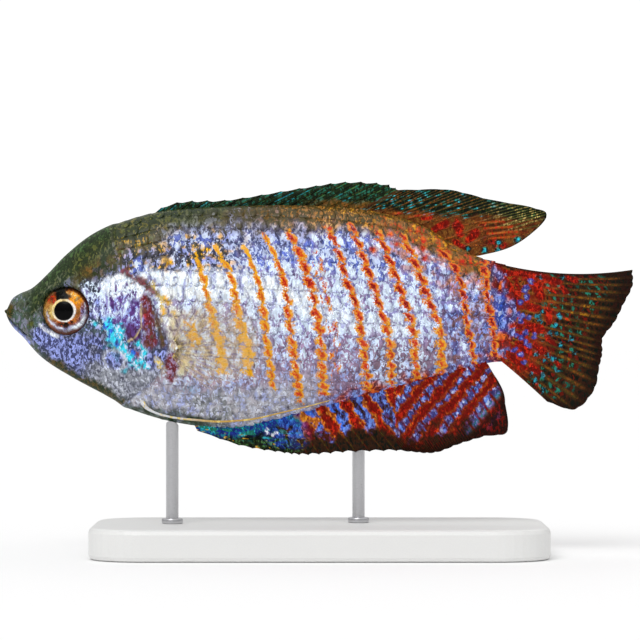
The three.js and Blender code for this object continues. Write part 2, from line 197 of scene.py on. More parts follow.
COAL = Tone(20, 24, 12)
PINE = Tone(34, 50, 20)
UMBER = Tone(82, 68, 26)
MOSS = Tone(86, 92, 40)
GREEN = Tone(62, 92, 46)
DRAB = Tone(74, 67, 38)
RUST = Tone(138, 88, 34)
TAN = Tone(186, 126, 54)
SNOUT = Tone(78, 98, 86)
CHEEK = Tone(66, 70, 112)
HAZE = Tone(152, 164, 232)
SLATE = Tone(66, 70, 86)
STEEL = Tone(128, 130, 150)
LILAC = Tone(150, 146, 204)
MAUVE = Tone(166, 138, 172)
AZURE = Tone(104, 124, 214)
ICE = Tone(220, 236, 255)
WHITE = Tone(246, 252, 255)
PEARL = Tone(204, 208, 222)
PURPLE = Tone(96, 62, 132)
PLUM = Tone(72, 34, 74)
MAROON = Tone(120, 38, 46)
RED = Tone(200, 40, 16)
BARK = Tone(92, 66, 50)
STRAW = Tone(226, 200, 116)
SAND = Tone(196, 176, 146)
GOLD = Tone(242, 178, 16)
AMBER = Tone(228, 146, 40)
ORANGE = Tone(220, 98, 18)
AQUA = Tone(58, 216, 240)
TEAL = Tone(28, 138, 160)
BLUE = Tone(58, 110, 224)
THROAT = Tone(146, 150, 160)
BELLY = Tone(184, 182, 190)
BLUSH = Tone(139, 116, 140)
LEAF = Tone(84, 132, 74)
INK = Tone(10, 18, 10)
COCOA = Tone(50, 26, 10)
KHAKI = Tone(92, 80, 24)
WINE = Tone(118, 14, 4)
COPPER = Tone(176, 92, 30)
HEM = Tone(36, 10, 6)
VIOLET = Tone(70, 66, 130)
SKY = Tone(110, 146, 232)
ROYAL = Tone(34, 56, 150)
SEA = Tone(40, 132, 110)
PUPIL = Tone(3, 3, 4)
IRIS_GOLD = Tone(252, 164, 24)
EMBER = Tone(196, 76, 6)
SOOT = Tone(44, 24, 14)
IRIS_RIM = Tone(98, 44, 26)
SILVER = Tone(214, 218, 236)
RING_GOLD = Tone(252, 226, 150)
RING_WHITE = Tone(255, 250, 244)
THREAD = Tone(196, 156, 76)
ASH = Tone(214, 216, 220)


@dataclass
class Paintwork:
    """Paint laid over many points: a ground, the flecks on it and how many flecks there are."""

    along: Array
    height: Array
    ground: Array = field(init=False)
    fleck: Array = field(init=False)
    amount: Array = field(init=False)

    def __post_init__(self) -> None:
        """Starts with no paint."""
        self.amount = np.zeros(len(self.along))
        self.ground = self.fleck = np.zeros((len(self.along), 3))

    def __call__(
        self, where: Array | float, ground: Tone | None, fleck: Tone, amount: Array | float,
    ) -> None:
        """Lays paint over what is there.

        Args:
            where: how strongly each point takes it, from 0 to 1.
            ground: the new ground, or none to keep the old one.
            fleck: the new flecks.
            amount: the share of the surface that the flecks cover.
        """
        where = np.broadcast_to(np.clip(where, 0, 1), self.amount.shape)
        if ground:
            self.ground = lerp(self.ground, ground.paint, where[:, None])
        self.fleck = lerp(self.fleck, fleck.paint, where[:, None])
        self.amount = lerp(self.amount, amount, where)

    def streak(
        self, line: Points, reach: float, soft: float, ragged: Array | float,
        ground: Tone | None, fleck: Tone, amount: float, where: Array | float = 1.0,
    ) -> None:
        """Lays a streak along a line, as far as a reach that ends softly and raggedly."""
        far, _ = off_line(line, self.along, self.height)
        self(where * fade(far + ragged, reach - soft, reach + soft), ground, fleck, amount)

    def near(self, dots: Points) -> Array:
        """The distance to the nearest of a few dots."""
        return np.min([np.hypot(self.along - a, self.height - h) for a, h in dots], axis=0)

    def dress(self, piece: Piece) -> None:
        """Writes the paint on a piece's points."""
        Bench.write(piece, "ground", np.c_[self.ground, np.ones(len(self.along))])
        Bench.write(piece, "fleck", np.c_[self.fleck, self.amount])


class Bench:
    """The few mesh tools that every piece is made with."""

    @staticmethod
    def clear() -> None:
        """Leaves nothing selected."""
        if bpy.context.mode != "OBJECT":
            bpy.ops.object.mode_set(mode="OBJECT")
        bpy.ops.object.select_all(action="DESELECT")

    @classmethod
    def pick(cls, piece: Piece) -> None:
        """Selects one piece and makes it active."""
        cls.clear()
        piece.select_set(True)
        bpy.context.view_layer.objects.active = piece

    @classmethod
    def grid(cls, name: str, columns: int, rows: int) -> tuple[Piece, Array, Array]:
        """Adds a flat grid.

        Args:
            name: the piece's name.
            columns: points one way.
            rows: points the other way.

        Returns:
            The piece, and the column and the row of each of its points.
        """
        cls.clear()
        bpy.ops.mesh.primitive_grid_add(x_subdivisions=columns - 1, y_subdivisions=rows - 1, size=2)
        piece = bpy.context.active_object
        piece.name = piece.data.name = name
        spots = cls.spots(piece)
        column = np.rint((spots[:, 0] + 1) / 2 * (columns - 1)).astype(int)
        row = np.rint((spots[:, 1] + 1) / 2 * (rows - 1)).astype(int)
        return piece, column, row

    @staticmethod
    def spots(piece: Piece) -> Array:
        """The places of a piece's points."""
        found = np.zeros(len(piece.data.vertices) * 3, np.float32)
        piece.data.vertices.foreach_get("co", found)
        return found.reshape(-1, 3).astype(float)

    @staticmethod
    def shape(piece: Piece, along: Array, side: Array, height: Array) -> None:
        """Moves a piece's points to their places, given in mm."""
        spots = np.stack([along - MID_ALONG, side, height + AXIS_LEVEL], 1) * MM
        piece.data.vertices.foreach_set("co", spots.astype(np.float32).ravel())
        piece.data.update()

    @staticmethod
    def write(piece: Piece, name: str, values: Array) -> None:
        """Writes one number, three numbers or a colour on each point.

        Args:
            piece: the piece.
            name: the name to write under.
            values: a row for each point.
        """
        values = np.asarray(values, np.float32)
        kind, key = {
            1: ("FLOAT", "value"), 3: ("FLOAT_VECTOR", "vector"), 4: ("FLOAT_COLOR", "color"),
        }[values.size // len(values)]
        piece.data.attributes.new(name, kind, "POINT").data.foreach_set(key, values.ravel())

    @staticmethod
    def read(piece: Piece, name: str) -> Array:
        """Reads back one number from each point."""
        found = np.zeros(len(piece.data.vertices), np.float32)
        piece.data.attributes[name].data.foreach_get("value", found)
        return found.astype(float)

    @staticmethod
    def unwrap(piece: Piece, u: Array, v: Array) -> None:
        """Gives a piece a map for its colours, from a place for each point."""
        layer = piece.data.uv_layers.new(name="OFBake")
        corners = np.zeros(len(piece.data.loops), np.int32)
        piece.data.loops.foreach_get("vertex_index", corners)
        layer.data.foreach_set("uv", np.stack([u, v], 1)[corners].astype(np.float32).ravel())

    @classmethod
    def finish_shape(cls, piece: Piece, modifier: str, **settings: object) -> None:
        """Adds a modifier with its settings and applies it."""
        cls.pick(piece)
        made = piece.modifiers.new("step", modifier)
        for key, value in settings.items():
            setattr(made, key, value)
        bpy.ops.object.modifier_apply(modifier=made.name)

    @classmethod
    def close_up(cls, piece: Piece, distance: float = 1e-7) -> None:
        """Merges points that meet and turns the faces outward.

        Args:
            piece: the piece.
            distance: how near points meet, in metres.
        """
        cls.pick(piece)
        bpy.ops.object.mode_set(mode="EDIT")
        bpy.ops.mesh.select_all(action="SELECT")
        bpy.ops.mesh.remove_doubles(threshold=distance)
        bpy.ops.mesh.normals_make_consistent(inside=False)
        bpy.ops.object.mode_set(mode="OBJECT")

    @classmethod
    def place(cls, piece: Piece, slot: str, material: Material, replaces: Sequence[str] = ()) -> None:
        """Smooths a piece, gives it its material and ties it to the frame.

        Args:
            piece: the finished piece.
            slot: not used.
            material: what it is dressed in.
            replaces: the solids that it stands for.
        """
        cls.pick(piece)
        bpy.ops.object.shade_smooth()
        piece.data.materials.clear()
        piece.data.materials.append(material)
        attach(piece, "root")
        if replaces:
            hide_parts(*replaces)
        LOG.info("%s: %d faces", piece.name, len(piece.data.polygons))


@dataclass(frozen=True)
class BodyForm:
    """The fish's outline and sections, from which skin, scales and fins take their places."""

    top: Points = (
        (0, 1.1), (0.7, 2.6), (1.6, 3.3), (3.4, 4.15), (5.4, 6), (7.5, 8.2), (10.5, 10.65),
        (13.6, 12.25), (17.6, 13.5), (22.2, 14.3), (32.4, 14.8), (43, 14.6), (50.3, 13.3),
        (54.1, 11.7), (58.2, 9.2), (61, 7.9), (66, 6.8),
    )
    bottom: Points = (
        (0, 0.6), (1.3, -1.1), (4.4, -4.65), (8.5, -7.35), (13.6, -10.1), (15.6, -11.45),
        (21.7, -13.25), (28.6, -13.95), (32.7, -13.3), (40.1, -11.35), (51.5, -8.3),
        (59.2, -6.2), (62.5, -5.5), (66, -5.7),
    )
    half_widths: Points = (
        (0, 0.6), (1, 1.3), (3, 2.1), (5.5, 3), (8, 3.6), (12, 4.4), (17, 4.9), (22, 5.1),
        (30, 4.9), (40, 4.2), (50, 3.2), (58, 2.2), (62, 1.5), (66, 0.75),
    )
    widest_level: float = 0.56
    back_sharpness: float = 0.1
    belly_sharpness: float = 0.35
    tail_overlap: float = 0.6
    tail_taper: float = 2.6
    tail_thinness: float = 0.22

    def upper(self, along: Array) -> Array:
        """The height of the back."""
        return smooth_through(self.top, along)

    def lower(self, along: Array) -> Array:
        """The height of the belly."""
        return smooth_through(self.bottom, along)

    def section(self, along: Array, angle: Array, grow: Array | float = 0) -> tuple[Array, Array]:
        """A point of the cross-section.

        Args:
            along: its place along the fish.
            angle: the angle from the top, positive on the right.
            grow: how far the section is grown.

        Returns:
            Its side and its height.
        """
        top, bottom = self.upper(along) + grow, self.lower(along) - grow
        widest = bottom + (top - bottom) * self.widest_level
        up, out = np.cos(angle), np.sin(angle)
        height = widest + up * np.where(up > 0, top - widest, widest - bottom)
        power = np.where(up > 0, self.back_sharpness, self.belly_sharpness)
        width = smooth_through(self.half_widths, along) + grow
        return width * out * np.abs(out) ** power, height

    def angle_at(self, along: Array, height: Array) -> Array:
        """The angle from the top where the side has a height."""
        top, bottom = self.upper(along), self.lower(along)
        widest = bottom + (top - bottom) * self.widest_level
        reach = np.where(height > widest, top - widest, widest - bottom)
        return np.arccos(np.clip((height - widest) / reach, -1, 1))

    def tail_end(self, height: Array) -> Array:
        """How far back the body reaches, which is a little way into the tail fin."""
        return smooth_through(TAIL_ROOT, height) + self.tail_overlap

    def thinning(self, along: Array, end: Array) -> Array:
        """How thin the body gets towards its end."""
        left = np.clip((end - along) / self.tail_taper, 0, 1)
        return lerp(self.tail_thinness, 1.0, np.sqrt(left))

    def outward(self, along: Array, angle: Array) -> Array:
        """The direction straight out of the surface, as along, side and height.

        Args:
            along: places along the fish.
            angle: their angles from the top.

        Returns:
            A direction of length 1 for each.
        """
        step = 2e-3

        def spot(a: Array, g: Array) -> Array:
            """The place at an along and an angle."""
            return np.stack([a, *self.section(a, g)], -1)

        lengthwise = spot(along + step, angle) - spot(np.maximum(along - step, 0), angle)
        around = spot(along, angle + step) - spot(along, angle - step)
        found = np.cross(lengthwise, around)
        return found / np.maximum(np.linalg.norm(found, axis=-1, keepdims=True), 1e-12)


@dataclass(frozen=True)
class Bar:
    """One slanting bar of the flank: its scale column, its route down the side and its look."""

    column: float
    route: Points
    hue: tuple[float, float]
    strength: float = 1.0
    half_width: float = 0.4
    top: float = 11.5
    bottom: float = -8.5


BARS = (
    Bar(-2, ((22.2, 8.3), (23, 3), (23.8, -1.4), (24.5, -2.7)), (0.1, 0.05), 1.0, 0.5, 0.3, -3.4),
    Bar(0, ((24.3, 8.3), (25, 6.1), (25.8, 3.1), (26.3, 0.6), (27.1, -1.9), (27.7, -5.1)),
        (0.35, 0.0), 1.0, 0.42, 9.2, -7),
    Bar(2, ((27.3, 8.3), (28.7, 6.1), (29.5, 2), (30, -0.4), (30.8, -2.9), (31, -5.6)),
        (0.45, 0.05), 1.0, 0.44, 9.8, -7.2),
    Bar(4, ((30.5, 9.3), (31.5, 6.9), (32.4, 4.3), (33.1, -0.4), (33.4, -2.9), (34, -8.2)),
        (0.5, 0.4), 0.95, 0.38, 10.2, -9),
    Bar(6, ((33.1, 10.6), (34.5, 7.9), (35.6, 4.6), (36.2, -0.4), (36.5, -2.8), (37, -6.4),
            (37.6, -10.7)), (0.7, 0.55), 1.0, 0.42, 11.2, -11),
    Bar(8, ((36.2, 10.7), (37.3, 8.8), (38.8, 4.3), (39.4, 1.7), (40.1, -2.3), (40.4, -8.2)),
        (0.8, 0.55), 1.0, 0.42, 11.8, -9.8),
    Bar(9, ((38.4, 10.7), (40.5, 7), (40.8, 3.5), (41.4, 1.4), (42, -0.6), (42.4, -7.8)),
        (0.7, 0.7), 0.55, 0.26, 9.5, -8),
    Bar(11, ((41.2, 11.5), (42.4, 8.7), (43.5, 4.5), (44.8, 1.5), (45.3, -1.5), (46.1, -7.6)),
        (0.85, 0.65), 1.0, 0.44, 12.5, -9),
    Bar(13, ((44.1, 11.8), (45.4, 8.4), (46.8, 4.5), (47.3, 2.7), (48.3, -0.3), (49, -2.9),
             (49.2, -8.4)), (0.9, 0.65), 1.0, 0.42, 12.5, -9),
    Bar(15, ((47.5, 11), (48.7, 8.2), (49.3, 6.6), (50, 4.6), (50.6, 2.8), (51.4, 0.8), (52, -2.5),
             (52.4, -6.6)), (0.9, 0.65), 1.0, 0.44, 12, -8),
    Bar(17, ((50.5, 10.6), (51.6, 8.6), (52.5, 6.3), (53.2, 4.6), (53.8, 2.7), (54.6, 0.9),
             (55.4, -1.1), (55.6, -5.4)), (0.85, 0.5), 1.0, 0.5, 11.5, -6.8),
    Bar(20, ((55.4, 8.9), (57.2, 6.8), (58, 4.8), (58.5, 2.2), (58.8, -0.4), (59.7, -5.1)),
        (0.95, 0.8), 1.0, 0.42, 9.5, -6),
    Bar(22, ((60.9, 7.4), (61.2, 4.8), (61.5, 2.2), (61.9, 0.1), (62.3, -1.9), (62.3, -3.6)),
        (1.0, 0.95), 1.0, 0.42, 8, -5),
)
GILL_LINE = (
    (13, 17), (13.5, 11), (14.5, 8), (16.6, 5.6), (17.9, 4), (19.2, 1.6), (20.2, -1), (20.9, -3),
    (20.7, -4.6), (19.8, -6.5), (18.3, -8.2), (16.5, -9.6), (14.5, -11.5), (14.5, -16),
)
RED_SPECKS = (
    (49.1, 11), (51.6, 11.4), (52.5, 11.3), (49.8, 9.7), (50.7, 8.3), (53.5, 7.9), (53.3, 10.2),
    (53.1, 9.1), (54.4, 10.2), (55.5, 9.5), (56.3, 8.8), (55.6, 8.1), (58.1, 7.3), (46.8, 8.8),
)
TAIL_ROOT = ((-9, 62), (-4.6, 63.6), (-1.5, 64.6), (2, 64.7), (6.5, 63.3), (10, 62.2))


class ScaleRows:
    """The net of scale columns, which lean with the bars, and rows, which run along the side."""

    PITCH = 1.95
    PITCH_FALL = 0.075
    PITCH_LEAST = 1.15
    COLUMN_PITCH = 1.65
    REAR_PITCH = 1.45
    REACH = 17.0
    LENGTH = 68.0
    MARKS = 137
    TABLE_ROW = 16
    EDGE_ROW = 15.9
    HALVINGS = 22
    ROUNDS = 9

    def __init__(self, form: BodyForm) -> None:
        """Tabulates the columns' routes and the rows' angles.

        Args:
            form: the body that carries them.
        """
        self.form = form
        self.levels = np.linspace(-self.REACH, self.REACH, self.MARKS)
        self.columns = np.array([-8.0, *[bar.column for bar in BARS], 27.0])
        routes = [self.route(bar.route) for bar in BARS]
        routes = [routes[0] - 6 * self.COLUMN_PITCH, *routes, routes[-1] + 5 * self.REAR_PITCH]
        self.routes = np.stack(routes)
        self.stations = np.linspace(0, self.LENGTH, self.MARKS)
        self.row_marks = np.linspace(-self.TABLE_ROW, self.TABLE_ROW, 641)
        angles = np.linspace(0, math.pi, 361)
        s, a = np.meshgrid(self.stations, angles, indexing="ij")
        side, height = form.section(s, a)
        steps = np.hypot(np.diff(side, axis=1), np.diff(height, axis=1))
        arc = np.concatenate([np.zeros((len(s), 1)), np.cumsum(steps, 1)], 1)
        self.angle_table = np.zeros((len(self.stations), len(self.row_marks)))
        for i, station in enumerate(self.stations):
            level = self.middle(station)
            middle = np.interp(-level, -height[i], arc[i])
            rows = self.row_of_arc((middle - arc[i]) / self.shrink(station))
            self.angle_table[i] = np.interp(self.row_marks, rows[::-1], angles[::-1])

    @staticmethod
    def middle(along: Array | float) -> Array:
        """The height of row nought."""
        return 1.0 - 0.045 * (along - 32)

    @staticmethod
    def shrink(along: Array | float) -> Array:
        """How much closer the rows lie than at mid-body."""
        return lerp(1.0, 0.84, ease(np.asarray(along, float), 38, 62)) * lerp(
            0.8, 1.0, ease(np.asarray(along, float), 12, 22)
        )

    @staticmethod
    def stagger(row: Array) -> Array:
        """How many columns further back a row's scales lie: every other row by half a column."""
        return 0.5 * (row % 2)

    def row_of_arc(self, arc: Array) -> Array:
        """The row at a length up from the middle row.

        Args:
            arc: lengths in mm, under 0 below the middle row.

        Returns:
            The row at each length.
        """
        down = np.maximum(-arc, 0)
        fall_end = (self.PITCH - self.PITCH_LEAST) / self.PITCH_FALL
        fallen = np.minimum(down, fall_end)
        rows = np.log(self.PITCH / (self.PITCH - self.PITCH_FALL * fallen)) / self.PITCH_FALL
        rows += np.maximum(down - fall_end, 0) / self.PITCH_LEAST
        return np.where(arc > 0, arc / self.PITCH, -rows)

    def route(self, points: Points) -> Array:
        """A bar's place along the fish at every level, led on past its ends."""
        (top_along, top), (low_along, low) = points[0], points[-1]
        line = [(self.REACH, top_along - 0.4 * (self.REACH - top))]
        line += [(height, along) for along, height in points]
        line += [(-self.REACH, low_along + 0.07 * (low + self.REACH))]
        return smooth_through(sorted(line), self.levels)

    def angle_of(self, along: Array, row: Array) -> Array:
        """The angle from the top of a row.

        Args:
            along: places along the fish.
            row: their rows.

        Returns:
            The angle at each place.
        """
        i = np.clip(along / (self.stations[1] - self.stations[0]), 0, len(self.stations) - 1.001)
        j = np.clip((row - self.row_marks[0]) / (self.row_marks[1] - self.row_marks[0]),
                    0, len(self.row_marks) - 1.001)
        m, n = i.astype(int), j.astype(int)
        s, t, table = i - m, j - n, self.angle_table
        return lerp(lerp(table[m, n], table[m + 1, n], s), lerp(table[m, n + 1], table[m + 1, n + 1], s), t)

    def row_of(self, along: Array, angle: Array) -> Array:
        """The row at an angle from the top, found by halving.

        Args:
            along: places along the fish.
            angle: their angles.

        Returns:
            The row at each place.
        """
        low, high = np.full(np.shape(along), -self.EDGE_ROW), np.full(np.shape(along), self.EDGE_ROW)
        for _ in range(self.HALVINGS):
            middle = (low + high) / 2
            below = self.angle_of(along, middle) > angle
            low, high = np.where(below, middle, low), np.where(below, high, middle)
        return (low + high) / 2

    def routes_at(self, height: Array) -> Array:
        """Where every column's route is at a height."""
        return np.stack([np.interp(height, self.levels, route) for route in self.routes])

    def along_of(self, column: Array, height: Array) -> Array:
        """The place along the fish of a column at a height."""
        at = self.routes_at(height)
        k = np.clip(np.searchsorted(self.columns, column, side="right") - 1, 0, len(self.columns) - 2)
        share = (column - self.columns[k]) / (self.columns[k + 1] - self.columns[k])
        pick = np.arange(at.shape[1])
        return lerp(at[k, pick], at[k + 1, pick], share)

    def column_of(self, along: Array, height: Array) -> Array:
        """The column at a place on the side."""
        at = self.routes_at(height)
        k = np.clip((at <= along).sum(0) - 1, 0, len(self.columns) - 2)
        pick = np.arange(at.shape[1])
        share = (along - at[k, pick]) / (at[k + 1, pick] - at[k, pick])
        return lerp(self.columns[k], self.columns[k + 1], share)

    def settle(self, column: Array, row: Array) -> Trio:
        """Where a column and a row cross.

        Args:
            column: the columns.
            row: the rows.

        Returns:
            The place along the fish, the angle from the top and the height.
        """
        along = self.along_of(column, np.zeros(len(column)))
        for _ in range(self.ROUNDS):
            angle = self.angle_of(along, row)
            height = self.form.section(along, angle)[1]
            along = self.along_of(column, height)
        return along, angle, height


@dataclass(frozen=True)
class Markings:
    """The fish's markings, with a few painted highlights, glints and crease shade among them, the same for
    its skin and its scales.
    """

    form: BodyForm
    rows: ScaleRows
    grain: Grain = field(default_factory=lambda: Grain(11))

    def behind_gill(self, along: Array, height: Array) -> Array:
        """How far a point lies behind the gill line, in mm."""
        line = sorted((height, along) for along, height in GILL_LINE)
        return along - smooth_through(line, height)

    def bars(self, along: Array, height: Array) -> Trio:
        """What the bars ask of each point.

        Args:
            along: places along the fish.
            height: their heights.

        Returns:
            The distance behind the nearest bar in half widths, its strength and its hue.
        """
        column = self.rows.column_of(along, height)
        best = np.full(len(along), 99.0)
        strength, hue = np.zeros(len(along)), np.zeros(len(along))
        for bar in BARS:
            ahead = fade(bar.column, 5, 9)
            narrow = (0.25 + 0.2 * ease(height, 6, 8)) * ease(height, 2, 4) * ahead
            broad = 0.25 * fade(height, -1.5, 1) * fade(bar.column, 2, 4)
            half_width = bar.half_width * (1 - narrow + broad * ease(bar.column, -2, -1))
            off = (column - bar.column) * self.rows.COLUMN_PITCH / half_width
            power = bar.strength * ease(height, bar.bottom - 0.8, bar.bottom + 0.8)
            power = power * fade(height, bar.top - 1.2, bar.top + 0.8)
            nearer = np.abs(off) < np.abs(best)
            best = np.where(nearer, off, best)
            strength = np.where(nearer, power * fade(np.abs(off), 1.9, 2.4), strength)
            tint = lerp(bar.hue[1], bar.hue[0], ease(height, -2.5, 2.5))
            tint = tint - 0.35 * ease(height, 5.5, 8.5) * ahead
            hue = np.where(nearer, tint, hue)
        strength *= ease(self.behind_gill(along, height), 0.5, 2)
        return best, strength, hue

    def flank(self, paint: Paintwork) -> None:
        """Paints the body behind the gill line.

        Args:
            paint: the paint to lay on.
        """
        along, height = paint.along, paint.height
        rough = self.grain(along, height, 1.3) - 0.5
        fine = self.grain(along + 50, height, 0.6) - 0.5
        speck = ease(self.grain(along + 20, height + 5, 0.75, 1.5), 0.42, 0.58)
        other = ease(self.grain(along + 90, height + 25, 0.6, 1.4), 0.44, 0.56)
        ragged = 1.6 * rough + 1.2 * fine
        depth = self.form.upper(along) - height + ragged
        over_belly = height - self.form.lower(along) + ragged
        paint(1, LILAC, ICE, 0.68)
        paint(0.7 * speck, MAUVE, ICE, 0.62)
        upper = fade(depth, 7.5, 10)
        paint(upper, LILAC, ICE, 0.5)
        paint(upper * other, AZURE, ICE, 0.5)
        paint(upper * fade(depth, 4.5, 8) * 0.8 * speck, SLATE, HAZE, 0.35)
        fore = upper * fade(along, 26, 33) * ease(height + ragged, 4, 5.5)
        paint(fore, SLATE, HAZE, 0.5)
        paint(fore * other * 0.8, CHEEK, ICE, 0.44)
        gilt = fore * ease(self.grain(along + 31, height * 1.2, 0.8), 0.5, 0.58)
        paint(gilt, DRAB, GOLD, 0.36)
        low = fade(height + ragged, -4.5, -1)
        paint(low * 0.9, MAUVE, ICE, 0.36)
        paint(low * other * 0.8, BLUSH, HAZE, 0.4)
        paint(low * ease(along, 44, 48) * 0.8, BLUSH, ICE, 0.24)
        paint(low * fade(height + ragged, -8, -6) * ease(along, 31, 36) * 0.75, BLUSH, HAZE, 0.25)
        paint(low * ease(along, 42, 48) * speck * 0.4, BARK, SKY, 0.4)
        late = ease(along, 53, 58)
        paint(late * 0.7, LILAC, ICE, 0.27)
        paint(late * speck * 0.9, VIOLET, SKY, 0.33)
        paint(late * other * 0.7, RUST, LILAC, 0.4)
        net = ease(along, 45, 51) * fade(depth, 5.5, 8) * ease(fine, 0.04, 0.12)
        paint(net * 0.55, AMBER, ORANGE, 0.5)
        cream = fade(along, 30, 36) * fade(height + ragged, -0.5, 2)
        cream *= ease(height + ragged, -8.5, -5.5)
        paint(cream * 0.8, SAND, PEARL, 0.35)
        paint(cream * speck * fade(along, 24, 29) * 0.7, SAND, STRAW, 0.35)
        paint(cream * other * 0.6, LILAC, ICE, 0.45)
        belly = fade(over_belly, 3.2, 6.5) * fade(along, 36, 43)
        paint(belly, BELLY, PEARL, 0.34)
        paint(belly * other * 0.6, STEEL, HAZE, 0.3)
        mottled = belly * ease(along, 20, 24) * fade(along, 28, 32)
        paint(mottled * speck * 0.5, SNOUT, PEARL, 0.4)
        # Painted glints: more ice-white flecks on the lower rear flank, in place of the light that its
        # scales catch.
        spark = bell(along - 50.5, 5.5) * bell(height + 8 + (along - 50) * -0.12, 1.4)
        paint(spark * 0.8, None, ICE, 0.62)
        # A painted highlight: a near-white band along the upper flank, where the light is reflected, with
        # lilac mottling inside it.
        line, run = off_line(((18.2, 4.6), (29.9, 4.6), (37.5, 2.6), (45.2, -0.3), (50, -1)),
                             along, height + 0.8 * ragged)
        reach = lerp(1.9, 1.2, run)
        painted_highlight_band = fade(line, reach - 0.6, reach + 0.5)
        painted_highlight_band *= lerp(1.0, 0.3, ease(run, 0.4, 1)) * ease(self.behind_gill(along, height), 0, 1)
        paint(painted_highlight_band, ICE, WHITE, 0.8)
        paint(painted_highlight_band * 0.75 * ease(self.grain(along * 1.4 + 7, height, 0.55, 2.2), 0.54, 0.66), LILAC, ICE,
              0.4)
        back = fade(depth, 1.9, lerp(4.6, 3.6, ease(along, 38, 48)))
        paint(back, DRAB, UMBER, 0.4)
        paint(back * speck * 0.8, DRAB, STEEL, 0.25)
        paint(back * other * ease(depth, 1.8, 3.2) * 0.8, SLATE, HAZE, 0.3)
        paint(back * ease(along, 28, 42) * 0.8, UMBER, TAN, 0.26)
        paint(back * ease(along, 40, 54) * 0.8, UMBER, RUST, 0.5)
        paint(back * ease(depth, 2, 3.6) * other * 0.4, LILAC, ICE, 0.3)
        paint(back * ease(along, 36, 44) * speck * ease(fine, 0.04, 0.14) * 0.8, RUST, GOLD, 0.4)
        paint(back * ease(along, 45, 52) * other * ease(depth, 0.3, 1.2) * ease(fine, -0.1, 0), RUST, RED,
              0.4)
        cheek_top = fade(along + ragged, 18, 22) * fade(depth, 5.6, 7.4)
        paint(cheek_top, UMBER, MOSS, 0.3)
        paint(cheek_top * other * 0.6, PINE, GOLD, 0.14)
        paint(cheek_top * speck * ease(depth, 3.4, 5) * 0.8, SLATE, HAZE, 0.3)
        nape = fade(along, 22, 30) * fade(depth, 1.6, 3.8)
        paint(nape * 0.85, PINE, MOSS, 0.34)
        ridge = fade(depth, 0.3, 1.3)
        paint(ridge * fade(along, 26, 34) * 0.9, PINE, MOSS, 0.2)
        keel = fade(over_belly, 0.4, 1.6)
        paint(keel * fade(along, 24, 30), PINE, SNOUT, 0.3)
        rusty = fade(over_belly, 0.6, 2.2) * ease(along, 38, 44)
        paint(rusty * speck, WINE, ORANGE, 0.45)
        paint(rusty * (1 - speck) * 0.7, VIOLET, SKY, 0.45)
        stem = ease(along + 1.2 * ragged, 60.6, 62.6)
        paint(stem * 0.85, VIOLET, HAZE, 0.26)
        paint(stem * other, WINE, ORANGE, 0.3)
        glitter = bell(along - 63.1, 0.9) * fade(np.abs(height - 1), 1.8, 2.8)
        paint(glitter * 0.9, ROYAL, SKY, 0.4)
        paint(glitter * other * 0.6, BLUE, ICE, 0.25)
        for line, reach in ((((62.8, 7.2), (63.9, 6.3)), 0.42), (((64.3, 4.8), (65.2, 2.8)), 0.75),
                            (((64.6, -0.6), (65.4, -0.9)), 0.4), (((63, -2.9), (64.4, -3.3)), 0.5)):
            paint.streak(line, reach, 0.15, 0.8 * ragged, WINE, RED, 0.3)
        away = paint.near(RED_SPECKS)
        paint(0.6 * fade(away + 1.2 * fine, 0.4, 0.65), TAN, ORANGE, 0.3)
        paint(fade(away + 0.9 * fine, 0.22, 0.38), RED, ORANGE, 0.2)
        away = paint.near(((21.8, 10.1), (25.3, 9.9)))
        paint(0.75 * fade(away + 1.8 * fine, 0.5, 1.0), AZURE, ICE, 0.45)
        shoulder = bell(along - 21.6, 0.9) * bell(height + 0.8, 3.0)
        paint(shoulder * 0.7 * ease(ragged, -0.5, 0.2), SAND, STRAW, 0.5)
        for line, reach, ground, fleck in (
            (((18.8, 4.7), (19.8, 2.9), (20.1, 1.3)), 0.24, STRAW, WHITE),
            (((20.3, 2.9), (21, 2.1)), 0.3, STRAW, GOLD),
            (((20.2, 1.4), (20.4, 0.7)), 0.26, STRAW, GOLD),
            (((21.5, 1), (21.8, 0.4)), 0.22, STRAW, GOLD),
            (((20.5, 0.2), (20.7, -0.4)), 0.25, PEARL, WHITE),
            # The next two streaks: painted shade, a dark line in the crease at the pectoral fin's root, and
            # a pale painted highlight just above it.
            (((20.7, -4.6), (21.5, -4.2), (22.5, -3.5)), 0.2, BARK, UMBER),
            (((21, -3.1), (21.6, -3.8), (22.4, -3.3)), 0.18, STRAW, WHITE),
        ):
            paint.streak(line, reach, 0.12, 0.5 * fine, ground, fleck, 0.4)
        axil, run = off_line(((21.3, -4.9), (21.4, -6), (21.1, -7.5)), along, height)
        reach = lerp(0.9, 0.45, run)
        paint(fade(axil + 0.9 * fine, reach - 0.2, reach + 0.2), MAROON, MAUVE, 0.3)
        green = bell(along - 23.7, 1.3) * bell(height + 7.9, 1.2)
        paint(green * 0.9 * ease(ragged, -0.4, 0.3), STEEL, SEA, 0.55)

    def head(self, paint: Paintwork) -> None:
        """Paints the head over the flank's paint.

        Args:
            paint: the paint to lay on.
        """
        along, height = paint.along, paint.height
        rough = self.grain(along + 9, height, 0.9) - 0.5
        fine = self.grain(along + 70, height, 0.35) - 0.5
        speck = ease(self.grain(along + 33, height + 11, 0.5, 1.3), 0.44, 0.56)
        other = ease(self.grain(along + 77, height + 41, 0.8), 0.45, 0.55)
        ragged = 1.3 * rough + 1.0 * fine
        depth = self.form.upper(along) - height + ragged
        over_throat = height - self.form.lower(along) + 0.7 * ragged
        head = fade(self.behind_gill(along, height), -0.5, 0.3)
        high = height + ragged

        def dab(
            line: Points, reach: float, ground: Tone, fleck: Tone, share: float,
            soft: float = 0.25, wild: float = 0.6, over: Array | float = 1.0,
        ) -> None:
            """Lays a streak of paint on the head, with ragged edges."""
            paint.streak(line, reach, soft, wild * ragged, ground, fleck, share, head * over)

